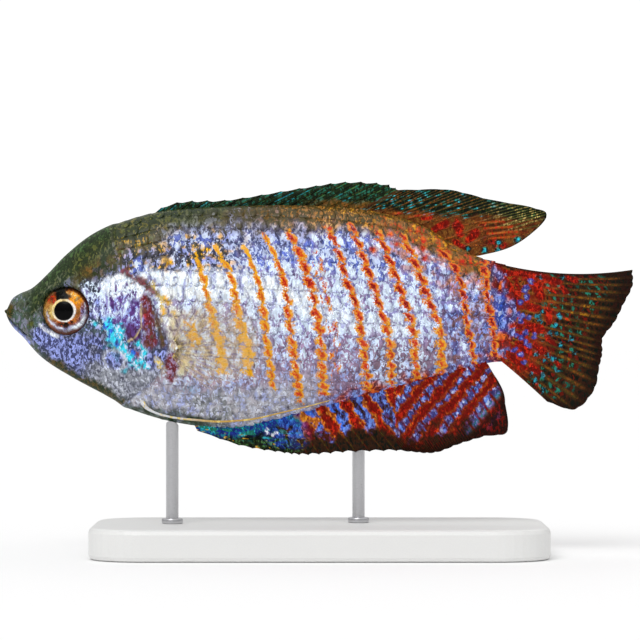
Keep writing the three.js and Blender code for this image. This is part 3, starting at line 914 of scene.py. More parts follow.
        paint(head, SLATE, STEEL, 0.45)
        paint(head * other * 0.7, SNOUT, HAZE, 0.3)
        paint(head * fade(along + ragged, 4.5, 7), SNOUT, STEEL, 0.3)
        paint(head * speck * fade(along, 4, 6) * 0.35, UMBER, MOSS, 0.3)
        cheek = head * fade(high, -2.4, -1.2) * ease(along, 4, 6)
        paint(cheek, CHEEK, HAZE, 0.4)
        paint(cheek * other * 0.8, SLATE, STEEL, 0.3)
        dab(((4.8, -1.8), (7, -4.1), (11, -5.8)), 1.3, CHEEK, HAZE, 0.5, 0.6, 0.8)
        throat = head * fade(high + 0.12 * (along - 12), -6.4, -4.6) * ease(along, 9, 12)
        paint(throat, THROAT, PEARL, 0.3)
        paint(throat * other * 0.6, SLATE, STEEL, 0.4)
        temple = head * ease(along, 10, 11.5) * ease(high, -1.5, 0) * fade(high, 4, 5.4)
        paint(temple, SLATE, ICE, 0.36)
        paint(temple * other, CHEEK, HAZE, 0.38)
        dab(((14.6, 1.9), (15.6, 0.2), (17, 0.6)), 2.1, PURPLE, HAZE, 0.3, 0.6)
        dab(((14.2, 1.2), (16.6, 1.6)), 1.3, LILAC, ICE, 0.4, 0.6, over=speck)
        dab(((16.2, -1.2), (16.6, -2)), 0.9, PLUM, PURPLE, 0.4, 0.4)
        crown = head * (1 - ease(depth, 5.2, 6.8) * ease(along, 3, 6))
        paint(crown * ease(along, 7, 10), UMBER, MOSS, 0.3)
        paint(crown * ease(along, 8, 11) * speck * 0.7, UMBER, RUST, 0.45)
        paint(crown * ease(along, 9, 12) * other, PINE, SLATE, 0.35)
        paint(crown * speck * ease(along, 13, 16) * ease(depth, 3.6, 5), PINE, HAZE, 0.2)
        paint(crown * ease(along, 5, 8) * 0.25, PINE, UMBER, 0.4)
        cap = head * fade(depth, 2.8, 4.6)
        paint(cap * ease(along, 1.5, 4) * 0.9, PINE, MOSS, 0.26)
        paint(head * fade(depth, 0.8, 2.4) * ease(along, 2, 5), PINE, GREEN, 0.25)
        dab(((17.3, 6.6), (17.6, 7.4)), 0.75, AZURE, ICE, 0.45, 0.4)
        dab(((15.4, 6.2), (17.4, 5.2)), 0.5, BARK, PLUM, 0.4, 0.3)
        # A painted highlight on the gill cover, the front end of the upper flank's bright band.
        dab(((12.6, 3.6), (14.8, 4.5), (17.4, 3.9)), 1.05, ICE, WHITE, 0.72, 0.35, 1.0)
        dab(((12.6, 3.2), (17.4, 3.4)), 1.3, PURPLE, ICE, 0.4, 0.4,
            over=ease(self.grain(along * 1.4 + 3, height, 0.5, 2.2), 0.56, 0.66))
        dab(((10.6, 4.6), (12, 3.4)), 0.6, SLATE, ICE, 0.42, 0.3, 0.9)
        for a, h in ((10.6, 2.6), (11.6, 1.8), (12.5, 1.9), (13.2, 2.4)):
            dab(((a - 0.2, h + 1.2), (a + 0.15, h - 1.4)), 0.24, LILAC, ICE, 0.7, 0.15, 0.45)
        glow = ((14.6, -0.8), (14.9, -1.9), (15.1, -3.4), (15.8, -4.8), (16.6, -5.5), (17.5, -5),
                (17.9, -3.9), (17.3, -3.1))
        dab(((13.4, -0.8), (14, -2), (14.6, -3.6), (15.6, -5.2)), 1.1, TEAL, AQUA, 0.4, 0.5, 0.9,
            over=speck)
        dab(((13.2, -0.7), (13.8, -1.8), (14.2, -3)), 0.6, BLUE, AQUA, 0.4, 0.3, 0.9)
        dab(((13.6, -3.2), (14.5, -4)), 0.35, TEAL, LEAF, 0.4)
        dab(((16.5, -4), (17, -4.2)), 0.45, BLUE, MAROON, 0.35)
        dab(glow, 0.36, AQUA, ICE, 0.25, 0.22, 0.75)
        dab(((16.2, -5.4), (17.8, -5.6)), 0.7, AQUA, ICE, 0.3, 0.3, 0.9, over=speck)
        dab(((11.2, -0.5), (11.5, -0.6)), 0.3, TEAL, AQUA, 0.4, 0.2)
        far, _ = off_line(((13.9, -5), (14.1, -5.1)), along, height)
        paint(head * fade(far + 0.5 * ragged, 1.0, 1.5) * 0.8, CHEEK, HAZE, 0.5)
        paint(head * bell(far + 0.25 * ragged - 1.25, 0.22) * 0.6, PEARL, WHITE, 0.3)
        far, _ = off_line(((18.35, 2.5), (18.6, 0), (18.5, -2.8)), along, height)
        flap = head * fade(far + 0.8 * ragged, 0.38, 1.18)
        paint(flap, MAROON, MAUVE, 0.34)
        paint(flap * speck * 0.6, BARK, PURPLE, 0.3)
        dab(((18.1, 0.4), (18.25, -0.4)), 0.3, MAROON, RED, 0.4, 0.25, 0.5)
        dab(((18.9, -1.8), (18.9, -2.4)), 0.3, MAROON, BARK, 0.3, 0.25, 0.5)
        dab(((19.35, -0.1), (19.5, -1.2)), 0.12, SAND, WHITE, 0.5, 0.1, 0.2)
        dab(((17.6, 6.2), (18.5, 4.4), (19.3, 1.6), (19.9, -1.4), (20.2, -3)), 0.38, BARK, UMBER, 0.45,
            0.2, 0.4)
        dab(((19.5, -5.1), (19.9, -5.9)), 0.3, STRAW, PEARL, 0.5, 0.2, 0.5)
        dab(((17.5, 2), (17.5, -1), (16.7, -2.2), (15.9, -2.6)), 0.1, SAND, STRAW, 0.3, 0.08, 0.12)
        dab(((4.5, -0.65), (5.3, -1.35), (6.7, -2.05)), 0.27, SILVER, WHITE, 0.5, 0.12, 0.15)
        dab(((3.1, -0.4), (3.3, -0.6)), 0.35, MOSS, UMBER, 0.3, 0.2)
        under = head * fade(over_throat, 0.6, 1.8) * ease(along, 3.5, 6)
        paint(under, PINE, UMBER, 0.35)
        # A painted highlight along the lower lip: a pale blue band where the rounded lip catches the light.
        dab(((0.4, -0.4), (1.4, -1.4), (2.9, -2.8)), 0.35, HAZE, STEEL, 0.4, 0.2, 0.1)
        dab(((-0.3, 1.2), (0.5, 0.6), (0.6, 1.6)), 0.5, PINE, UMBER, 0.4, 0.3, 0.3)
        dab(((0.2, 0.5), (1.3, -0.75), (2.5, -1.9)), 0.1, COAL, PINE, 0.1, 0.08, 0.05)

    def gill_top(self, paint: Paintwork) -> None:
        """Paints the marks that run over the top of the gill line.

        Args:
            paint: the paint to lay on.
        """
        fine = self.grain(paint.along + 15, paint.height + 5, 0.4) - 0.5
        for line, reach, ground, fleck, share in (
            (((17, 6.9), (17.3, 6.5)), 0.75, AZURE, ICE, 0.5),
            (((15.4, 6.3), (16.6, 5.4), (18.1, 4.4)), 0.46, BARK, MAROON, 0.5),
            (((18.1, 4.4), (18.9, 3.5)), 0.3, BARK, MAROON, 0.5),
            (((16.2, 5.9), (16.5, 5.7)), 0.2, AZURE, ICE, 0.5),
            (((20.2, 7.7), (21.1, 7.3)), 0.3, THREAD, GOLD, 0.3),
        ):
            paint.streak(line, reach, 0.2, 1.3 * fine, ground, fleck, share, 0.9)

    def edging(self, along: Array, height: Array) -> Array:
        """How strongly the darkened edges of the scales show, from 0 to 1; their darkening is partly
        painted shade where scales overlap.
        """
        shown = ease(height - self.form.lower(along), 4.5, 8.5) + 0.35 * ease(along, 40, 46)
        depth = self.form.upper(along) - height
        shown *= lerp(0.35, 1.0, ease(depth, 1.5, 4))
        shown *= 1 - 0.6 * fade(along, 22, 27) * fade(depth, 4, 6.5)
        return np.clip(shown, 0.08, 1) * ease(self.behind_gill(along, height), 0.1, 1.2)

    def dress(self, piece: Piece, along: Array, height: Array) -> None:
        """Writes every marking, and the painted highlights and shade, on a piece's points.

        Args:
            piece: the skin or a coat of scales.
            along: its points' places along the fish.
            height: their heights.
        """
        paint = Paintwork(along, height)
        self.flank(paint)
        self.head(paint)
        self.gill_top(paint)
        paint.dress(piece)
        Bench.write(piece, "bar", np.stack(self.bars(along, height), 1))


class Value:
    """A socket of a node tree that takes part in arithmetic."""

    def __init__(self, made: "Wiring", socket: bpy.types.NodeSocket) -> None:
        """Keeps the socket and the wiring that it belongs to."""
        self.made, self.socket = made, socket

    def __add__(self, other: object) -> "Value":
        """The sum."""
        return self.made.math("ADD", self, other)

    def __sub__(self, other: object) -> "Value":
        """What is left."""
        return self.made.math("SUBTRACT", self, other)

    def __rsub__(self, other: object) -> "Value":
        """What is left of the other."""
        return self.made.math("SUBTRACT", other, self)

    def __mul__(self, other: object) -> "Value":
        """The product."""
        return self.made.math("MULTIPLY", self, other)

    def __rtruediv__(self, other: object) -> "Value":
        """The other, divided."""
        return self.made.math("DIVIDE", other, self)

    def __abs__(self) -> "Value":
        """The size without its sign."""
        return self.made.math("ABSOLUTE", self)

    def larger(self, other: object) -> "Value":
        """The larger of two."""
        return self.made.math("MAXIMUM", self, other)

    def span(self, low: object, high: object) -> "Value":
        """A soft step from 0 to 1 over a span of values."""
        return self.made.value("MapRange", {0: self, 1: low, 2: high}, interpolation_type="SMOOTHSTEP")


class Wiring:
    """Wires up the nodes of a material, a group or a world."""

    def __init__(self, tree: bpy.types.NodeTree) -> None:
        """Takes the tree that the nodes go into."""
        self.tree = tree

    @classmethod
    def new(cls, owner: Material | bpy.types.World) -> "Wiring":
        """The wiring of a material or a world, begun afresh."""
        owner.use_nodes = True
        owner.node_tree.nodes.clear()
        return cls(owner.node_tree)

    def add(self, kind: str, feeds: dict | None = None, **settings: object) -> bpy.types.Node:
        """Adds a node.

        Args:
            kind: its type, without the prefix of shader nodes.
            feeds: what its inputs get, by name or number.
            settings: its own settings.

        Returns:
            The node.
        """
        made = self.tree.nodes.new(kind if kind.startswith("NodeGroup") else f"ShaderNode{kind}")
        for key, value in settings.items():
            setattr(made, key, value)
        for key, value in (feeds or {}).items():
            if isinstance(value, Value):
                self.tree.links.new(value.socket, made.inputs[key])
            else:
                made.inputs[key].default_value = value
        return made

    def node(self, kind: str, feeds: dict | None = None, **settings: object) -> list[Value]:
        """All outputs of a new node."""
        return [Value(self, socket) for socket in self.add(kind, feeds, **settings).outputs]

    def value(self, kind: str, feeds: dict | None = None, pick: int | str = 0, **settings: object) -> Value:
        """One output of a new node."""
        return Value(self, self.add(kind, feeds, **settings).outputs[pick])

    def math(self, operation: str, *values: object) -> Value:
        """One step of arithmetic."""
        return self.value("Math", dict(enumerate(values)), operation=operation)

    def blend(self, share: object, first: object, second: object, way: str = "MIX") -> Value:
        """One colour laid over another."""
        return self.value("Mix", {0: share, 6: first, 7: second}, 2, data_type="RGBA", blend_type=way)

    def shade(self, first: object, second: object) -> Value:
        """The product of two colours."""
        return self.blend(1.0, first, second, "MULTIPLY")

    def ramp(self, value: Value, *stops: tuple[float, Tone]) -> Value:
        """A run of paints over a value.

        Args:
            value: what the run is read by.
            stops: a place and a paint each.

        Returns:
            The colour.
        """
        colour = self.value("ValToRGB", {0: value})
        marks = colour.socket.node.color_ramp.elements
        while len(marks) < len(stops):
            marks.new(0.5)
        for mark, (place, tone) in zip(marks, stops):
            mark.position = place
            mark.color = (*tone.paint, 1)
        return colour

    def written(self, name: str) -> list[Value]:
        """What is written on the piece's points: as a colour, a vector, a number and the alpha."""
        return self.node("Attribute", attribute_name=name)

    def parts(self, name: str) -> list[Value]:
        """The three numbers written under a name."""
        return self.node("SeparateXYZ", {0: self.written(name)[1]})

    def place(self, *scale: float) -> Value:
        """The place on the object, in mm, stretched by a scale."""
        spot = self.value("TexCoord", pick="Object")
        size = tuple(s / MM for s in scale or (1, 1, 1))
        return self.value("Mapping", {"Vector": spot, "Scale": size})

    def noise(self, vector: Value, scale: float, detail: float, pick: int | str = 0) -> Value:
        """Cloudy unevenness."""
        return self.value("TexNoise", {"Vector": vector, "Scale": scale, "Detail": detail}, pick)

    def cells(self, vector: Value, scale: Value) -> tuple[list[Value], Value]:
        """Small cells: three random numbers for each, and the distance from its middle."""
        distance, colour, *_ = self.node("TexVoronoi", {"Vector": vector, "Scale": scale})
        return self.node("SeparateColor", {0: colour}), distance

    def surface(self, height: Value, relief: float, strength: float, feeds: dict) -> None:
        """Ends a material in a shader with a relief.

        Args:
            height: the relief's heights.
            relief: how deep it is, in mm.
            strength: how strongly it shows.
            feeds: what the shader's other inputs get.
        """
        bump = self.value("Bump", {"Height": height, "Distance": relief * MM, "Strength": strength})
        shader = self.value("BsdfPrincipled", {**feeds, "Normal": bump})
        self.node("OutputMaterial", {"Surface": shader})


class Groups:
    """Shader groups that several finishes share."""

    @staticmethod
    def start(name: str, inputs: dict[str, float], outputs: dict[str, str]) -> tuple[Wiring, list[Value]]:
        """Begins a group.

        Args:
            name: its name.
            inputs: its number inputs and their values.
            outputs: its outputs and their socket types.

        Returns:
            The wiring of the new group and its inputs.
        """
        tree = bpy.data.node_groups.new(name, "ShaderNodeTree")
        for key, value in inputs.items():
            made = tree.interface.new_socket(name=key, in_out="INPUT", socket_type="NodeSocketFloat")
            made.default_value = value
        for key, kind in outputs.items():
            tree.interface.new_socket(name=key, in_out="OUTPUT", socket_type=f"NodeSocket{kind}")
        made = Wiring(tree)
        return made, made.node("NodeGroupInput")[:len(inputs)]

    @classmethod
    def flecked(cls) -> bpy.types.NodeTree:
        """Ground paint broken up by flecks, dark pits and painted glints: tiny spots brighter than the
        flecks.
        """
        made, (size, contrast, sparks, more) = cls.start(
            "flecked_paint", {"Fleck size": 0.3, "Contrast": 0.5, "Sparks": 1.0, "More flecks": 0.0},
            {"Color": "Color", "Fleck": "Float", "Height": "Float"},
        )
        spot = made.place(1, 0.6, 0.58)
        drift = made.noise(spot, 2.2, 1, "Color")
        spot = made.value("VectorMath", {0: drift, 1: (0.6, 0.6, 0.6), 2: spot}, operation="MULTIPLY_ADD")
        (first, second, third), gap = made.cells(spot, 1.0 / size)
        clouds, fine = made.noise(spot, 0.9, 3), made.noise(spot, 5.5, 2)
        fleck, _, _, alpha = made.written("fleck")
        amount = alpha + more
        least = amount * -0.74 + 1.12
        mask = (first * 0.75 + clouds * 0.45 + fine * 0.3).span(least - 0.08, least + 0.08)
        shade = (second * 0.6 + fine * 1.5 - 1.05) * contrast + 1.0
        ground = made.shade(made.written("ground")[0], shade)
        pits = made.noise(spot, 3.4, 2).span(0.47, 0.34) * (contrast * 0.75)
        ground = made.blend(pits, ground, made.shade(ground, (0.34, 0.3, 0.44, 1)))
        colour = made.blend(mask, ground, made.shade(fleck, third * 0.5 + 0.72))
        # Painted glints: tiny spots of the fleck colour at half again its brightness, where the amount of
        # flecks is high.
        (dust, *_), away = made.cells(spot, 1.9 / size)
        least = amount * sparks * -0.42 + 1.02
        spark = (dust - 0.45 + clouds * 0.9).span(least, least + 0.08) * away.span(0.55, 0.25)
        colour = made.blend(spark, colour, made.shade(fleck, (1.5, 1.5, 1.5, 1)))
        height = mask * 0.4 + gap * -0.6 + fine
        made.node("NodeGroupOutput", {"Color": colour, "Fleck": mask, "Height": height})
        return made.tree

    @classmethod
    def scaling(cls) -> bpy.types.NodeTree:
        """The darkened edges of scales, partly painted shade where they overlap, a painted highlight in
        each scale's middle and the beaded bars, from the net of scales on the piece.
        """
        made, (edging,) = cls.start(
            "scale_markings", {"Edge": 0.6},
            {"Bar color": "Color", "Bar": "Float", "Edge": "Float", "Painted highlight": "Float"},
        )
        s, t, scaly = made.parts("net")
        off, strength, hue = made.parts("bar")
        spot = made.place()
        wobble, fine = made.noise(spot, 1.5, 2) - 0.5, made.noise(spot, 5.0, 3) - 0.5
        gap = made.noise(made.place(1.3, 1, 0.7), 1.1, 2) - 0.5
        far = abs(t * 0.4 + off + wobble * 3.0 + fine * 1.6)
        bulge = abs(t - 0.12).span(0.95, 0.2)
        width = bulge * 0.6 + 0.74 + fine * 2.4 + gap * 2.2
        bar = (1.0 - far.span(width - 0.35, width + 0.45)) * (gap * 1.3 + fine + strength).span(0.5, 0.78)
        bead = far.span(1.05, 0.15) * bulge
        heat = bead * (hue * 0.56 + 0.1) + hue * 0.32 + fine
        colour = made.ramp(heat, (0.13, GOLD), (0.28, AMBER), (0.44, ORANGE), (0.68, RED), (0.9, WINE))
        # Darker scale edges: partly the scales' own dark margins, partly painted shade where one scale
        # overlaps the next.
        sides = (fine * 0.9 + abs(t)).span(0.7, 1.05)
        edge = (fine * 0.9 + s).span(0.5, 1.0).larger(sides * 0.8)
        edge = edge * (wobble + fine).span(-0.2, 0.12) * scaly * edging
        # Painted highlight: more flecks towards the middle of each scale, where it catches the light.
        crown = (abs(s).span(1.0, 0.0) * abs(t).span(1.0, 0.1) - 0.28) * scaly + 0.28
        made.node("NodeGroupOutput", {"Bar color": colour, "Bar": bar, "Edge": edge, "Painted highlight": crown})
        return made.tree


@dataclass(frozen=True)
class Finish:
    """A material of flecked paint. A finish for the flank adds the scales' darkened edges, which are partly
    painted shade, a painted highlight in each scale's middle, and the bars.
    """

    name: str
    roughness: float
    gloss: float
    coat_roughness: float
    fleck_size: float
    contrast: float
    relief: float
    shine: float = 0.2
    sparks: float = 1.0
    scaly: bool = False
    edge: float = 0.6
    cover: bool = False

    def make(self, shared: dict[str, bpy.types.NodeTree]) -> Material:
        """Builds the material.

        Args:
            shared: the shader groups, by name.

        Returns:
            The material.
        """
        material = bpy.data.materials.new(self.name)
        made = Wiring.new(material)
        feeds = {"Fleck size": self.fleck_size, "Contrast": self.contrast, "Sparks": self.sparks}
        if self.scaly:
            bars, bar, edge, crown = made.node("Group", {"Edge": self.edge}, node_tree=shared["scaling"])
            # The painted highlight in each scale's middle, as extra flecks.
            feeds["More flecks"] = crown * 0.5 - 0.14
        colour, fleck, height = made.node("Group", feeds, node_tree=shared["flecked"])
        if self.scaly:
            # A shaded copy of the colour along the scale edges: partly their dark margins, partly painted
            # shade.
            dark = made.shade(colour, (0.22, 0.18, 0.3, 1))
            colour = made.blend(bar, made.blend(edge, colour, dark), bars)
            height = edge * -0.6 + height
        shader = {
            "Base Color": colour, "Roughness": fleck * -0.14 + self.roughness,
            "Coat Weight": self.gloss, "Coat Roughness": self.coat_roughness,
            "Specular IOR Level": self.shine,
        }
        if self.cover:
            shader["Alpha"] = made.written("cover")[2]
        made.surface(height, self.relief, 0.8, shader)
        return material


FINISHES = {
    "skin": Finish("wet_skin", 0.42, 0.08, 0.18, 0.24, 0.85, 0.03, shine=0.1, scaly=True, edge=0.5),
    "scales": Finish("glinting_scales", 0.38, 0.12, 0.2, 0.28, 0.7, 0.025, scaly=True, edge=0.6),
    "fin": Finish("fin_skin", 0.45, 0.04, 0.22, 0.22, 0.75, 0.03, shine=0.06, sparks=0.7),
    "clear_fin": Finish("clear_fin_skin", 0.35, 0.1, 0.15, 0.3, 0.2, 0.02, sparks=0, cover=True),
    "eye": Finish("eye_glaze", 0.35, 0.06, 0.03, 0.12, 0.6, 0.004, shine=0.04, sparks=0.4),
    "feeler": Finish("feeler_thread", 0.35, 0.2, 0.2, 0.3, 0.3, 0.02, sparks=0),
}


@dataclass(frozen=True)
class Skin:
    """One unbroken skin over head, jaw, gill covers, body and tail stem."""

    form: BodyForm
    rows: ScaleRows
    marks: Markings
    columns: int = 300
    around: int = 316
    head_share: float = 0.56
    head_end: float = 21.0
    end: float = 65.4
    stretch_from: float = 50.0
    coat_depth: float = 0.16
    eye_at: tuple[float, float] = (7.7, 1.17)
    nostrils: tuple[tuple[float, float, float], ...] = ((2.9, 2.1, 0.2), (4.5, 2.9, 0.24))
    mouth: Points = ((-0.6, 1.1), (0.05, 0.7), (1.3, -0.72), (2.5, -1.85), (2.9, -2.15))
    cover_front: Points = ((17.6, 5.6), (14.9, 5.0), (13.1, 2.6), (12.6, -1.4), (13.2, -4.8),
                           (14.8, -7.2), (17.2, -8))
    cheek_fold: Points = ((8.6, -3.4), (10.9, -3.2), (12.3, -1.6), (12.6, 0.6), (12.2, 2.6))

    def relief(self, along: Array, height: Array) -> Array:
        """How far the skin stands off the plain body, in mm.

        Args:
            along: places along the fish.
            height: their heights.

        Returns:
            The height of the relief.
        """
        found = np.zeros(len(along))
        far, run = off_line(self.mouth, along, height)
        over = height - smooth_through(sorted(self.mouth), along)
        lip = np.where(over > 0, bell(far - 0.3, 0.24), bell(far - 0.26, 0.18)) * fade(run, 0.8, 1)
        found += lerp(0.26, 0.14, ease(along, 0.6, 2.2)) * lip - 0.34 * bell(far, 0.11) * fade(run, 0.86, 1)
        for at, level, radius in self.nostrils:
            away = np.hypot(along - at, height - level)
            found += 0.08 * bell(away - 1.5 * radius, 0.6 * radius) - 0.3 * bell(away, 0.75 * radius)
        away = np.hypot(along - self.eye_at[0], height - self.eye_at[1])
        found += 0.14 * bell(away - 3.37, 0.25) - 2.3 * fade(away, 2.7, 3.24)
        found -= 0.1 * bell(away - 3.85, 0.22) * ease(-height, -2, 1)
        edge = self.marks.behind_gill(along, height)
        on_side = ease(height, -10.5, -8.5) * fade(height, 5.2, 7.5)
        fold, _ = off_line(self.cover_front, along, height)
        raised = ease(along, 12.2, 14.6) * fade(edge, -0.02, 0.12)
        found += on_side * (0.3 * raised - 0.3 * bell(edge - 0.28, 0.2))
        found -= 0.12 * bell(fold, 0.22) * on_side
        fold, _ = off_line(self.cheek_fold, along, height)
        found -= 0.07 * bell(fold, 0.25)
        bone, _ = off_line(((17.6, 3.2), (17.5, -0.8), (16.7, -2.2), (15.6, -2.8)), along, height)
        found += 0.1 * bell(bone, 0.16)
        for lift in (-6.9, -7.6, -8.3):
            ray, _ = off_line(((10.5, lift + 1.4), (13.5, lift), (17, lift - 0.6)), along, height)
            found -= 0.05 * bell(ray, 0.16)
        return found

    def build(self, material: Material) -> None:
        """Makes the skin.

        Args:
            material: what it is dressed in.
        """
        piece, column, row = Bench.grid("skin", self.columns, self.around + 1)
        step = column / (self.columns - 1)
        front = self.head_end * np.clip(step / self.head_share, 0, 1) ** 1.2
        rear = (step - self.head_share) / (1 - self.head_share)
        along = np.where(step < self.head_share, front, lerp(self.head_end, self.end, rear))
        turn = row / self.around
        angle = math.pi * (2 * turn - 1)
        height = self.form.section(along, angle)[1]
        reach = self.form.tail_end(height)
        start = self.stretch_from
        along = np.where(along > start, start + (along - start) * (reach - start) / (self.end - start),
                         along)
        scaly = ease(self.marks.behind_gill(along, height), 0.1, 1.2)
        lift = self.relief(along, height) - self.coat_depth * scaly
        side, height = self.form.section(along, angle)
        out = self.form.outward(np.maximum(along, 0.05), angle)
        side = side * self.form.thinning(along, reach)
        spots = np.stack([along, side, height], 1) + out * lift[:, None]
        keel = (row == 0) | (row == self.around)
        spots[keel, 1] = 0
        spots[column == self.columns - 1, 1] = 0
        spots[column == 0] = (-0.02, 0, 0.86)
        Bench.shape(piece, *spots.T)
        self.marks.dress(piece, along, height)
        net = (*self.net(along, np.abs(angle), height), self.marks.edging(along, height))
        Bench.write(piece, "net", np.stack(net, 1))
        Bench.unwrap(piece, 0.01 + 0.98 * step, 0.01 + 0.98 * turn)
        Bench.close_up(piece, 2e-6)
        Bench.place(piece, "head_skin", material, (
            "head", "lower_jaw", "gill_cover_left", "gill_cover_right", "torso", "tail_stem",
        ))

    def net(self, along: Array, angle: Array, height: Array) -> tuple[Array, Array]:
        """Each point's place on its own scale, from -1 to 1 each way."""
        row = self.rows.row_of(along, angle)
        column = self.rows.column_of(along, height) - self.rows.stagger(np.round(row))
        return 2 * (column - np.round(column)), 2 * (row - np.round(row))


class Flank(Enum):
    """The two sides of the fish, by the sign of the side direction."""

    LEFT = -1
    RIGHT = 1

    @property
    def word(self) -> str:
        """The side's name, for the names of pieces."""
        return self.name.lower()


@dataclass(frozen=True)
class ScaleCoat:
    """Overlapping scales over one flank, each a thin domed plate lying back along the body."""

    form: BodyForm
    rows: ScaleRows
    marks: Markings
    skin: Skin
    long_points: int = 8
    tall_points: int = 8
    root: float = -1.5
    thickness: float = 0.05
    lift: float = 0.17
    dome: float = 0.07
    tilt: float = 0.035
    patch: float = 0.003
    sink: float = 0.02
    uneven: float = 0.012
    hold: float = 0.6
    tip: float = 1.2
    rounding: float = 0.62
    spread: float = 1.12
    gill_gap: float = 0.35
    tail_gap: float = 0.1
    angles: tuple[float, float] = (0.16, 2.95)
    seed: int = 5

    def centres(self) -> tuple[Array, Array]:
        """The column and row of every scale that lies on the body."""
        column, row = (g.ravel().astype(float) for g in np.meshgrid(np.arange(-8, 26), np.arange(-12, 13)))
        column = column + self.rows.stagger(row)
        along, angle, height = self.rows.settle(column, row)
        ahead = self.marks.behind_gill(along, height)
        reach = smooth_through(TAIL_ROOT, height) - along
        keep = (ahead > self.gill_gap) & (reach > self.tail_gap)
        keep &= (angle > self.angles[0]) & (angle < self.angles[1])
        return column[keep], row[keep]

    def build(self, flank: Flank, material: Material) -> None:
        """Makes the coat of one flank.

        Args:
            flank: the side that it lies on.
            material: what it is dressed in.
        """
        column, row = self.centres()
        count, per = len(column), self.long_points * self.tall_points
        draw = np.random.default_rng(self.seed + flank.value)
        lean_s, lean_t, high = draw.normal(0, 1, (3, count, 1))
        across, down = np.meshgrid(np.linspace(0, 1, self.long_points),
                                   np.linspace(-1, 1, self.tall_points), indexing="ij")
        across, down = across.ravel()[None], down.ravel()[None]
        edge = self.tip - self.rounding * np.abs(down) ** 2.2
        s = np.broadcast_to(lerp(self.root, edge, across), (count, per))
        t = np.broadcast_to(self.spread * down * (1 - 0.12 * (across - 0.55) ** 2), (count, per))
        along, angle, height = self.rows.settle((column[:, None] + s / 2).ravel(),
                                                (row[:, None] + t / 2).ravel())
        angle = np.clip(angle, 0.03, math.pi - 0.03)
        rise = (s - self.root) / (1 - self.root)
        off = -self.skin.coat_depth - self.sink + self.lift * rise - self.dome * t**2
        off = off + self.tilt * (lean_s * s * 0.7 + lean_t * t) * 0.6 + self.uneven * high
        off = off.ravel() * lerp(0.55, 1.0, ease(along, 18, 24))
        side, height = self.form.section(along, angle)
        side = side * self.form.thinning(along, self.form.tail_end(height))
        out = self.form.outward(along, angle)
        spots = np.stack([along, side, height], 1) + out * off[:, None]
        spots[:, 1] *= flank.value
        mesh = bpy.data.meshes.new(f"scale_coat_{flank.word}")
        first = (np.arange(count) * per)[:, None]
        i, j = (g.ravel() for g in np.meshgrid(np.arange(self.long_points - 1),
                                               np.arange(self.tall_points - 1), indexing="ij"))
        base = first + (i * self.tall_points + j)[None]
        beside = base + self.tall_points
        quads = np.stack([base, beside, beside + 1, base + 1], -1).reshape(-1, 4)
        if flank is Flank.RIGHT:
            quads = quads[:, ::-1]
        mesh.from_pydata(np.zeros((count * per, 3)).tolist(), [], quads.tolist())
        piece = bpy.data.objects.new(mesh.name, mesh)
        bpy.context.scene.collection.objects.link(piece)
        Bench.shape(piece, *spots.T)
        self.marks.dress(piece, along, height)
        net = (s.ravel(), t.ravel(), self.marks.edging(along, height))
        Bench.write(piece, "net", np.stack(net, 1))
        root_along, root_angle, _ = self.rows.settle(column - self.hold, row)
        u = (root_along / self.rows.LENGTH)[:, None] + self.patch * (across - 0.5)
        v = (root_angle / math.pi)[:, None] + self.patch * down / 2
        Bench.unwrap(piece, np.clip(u, 0, 1).ravel(), np.clip(v, 0, 1).ravel())
        Bench.finish_shape(piece, "SOLIDIFY", thickness=self.thickness * MM, offset=-1.0)
        Bench.place(piece, "scaled_skin", material)


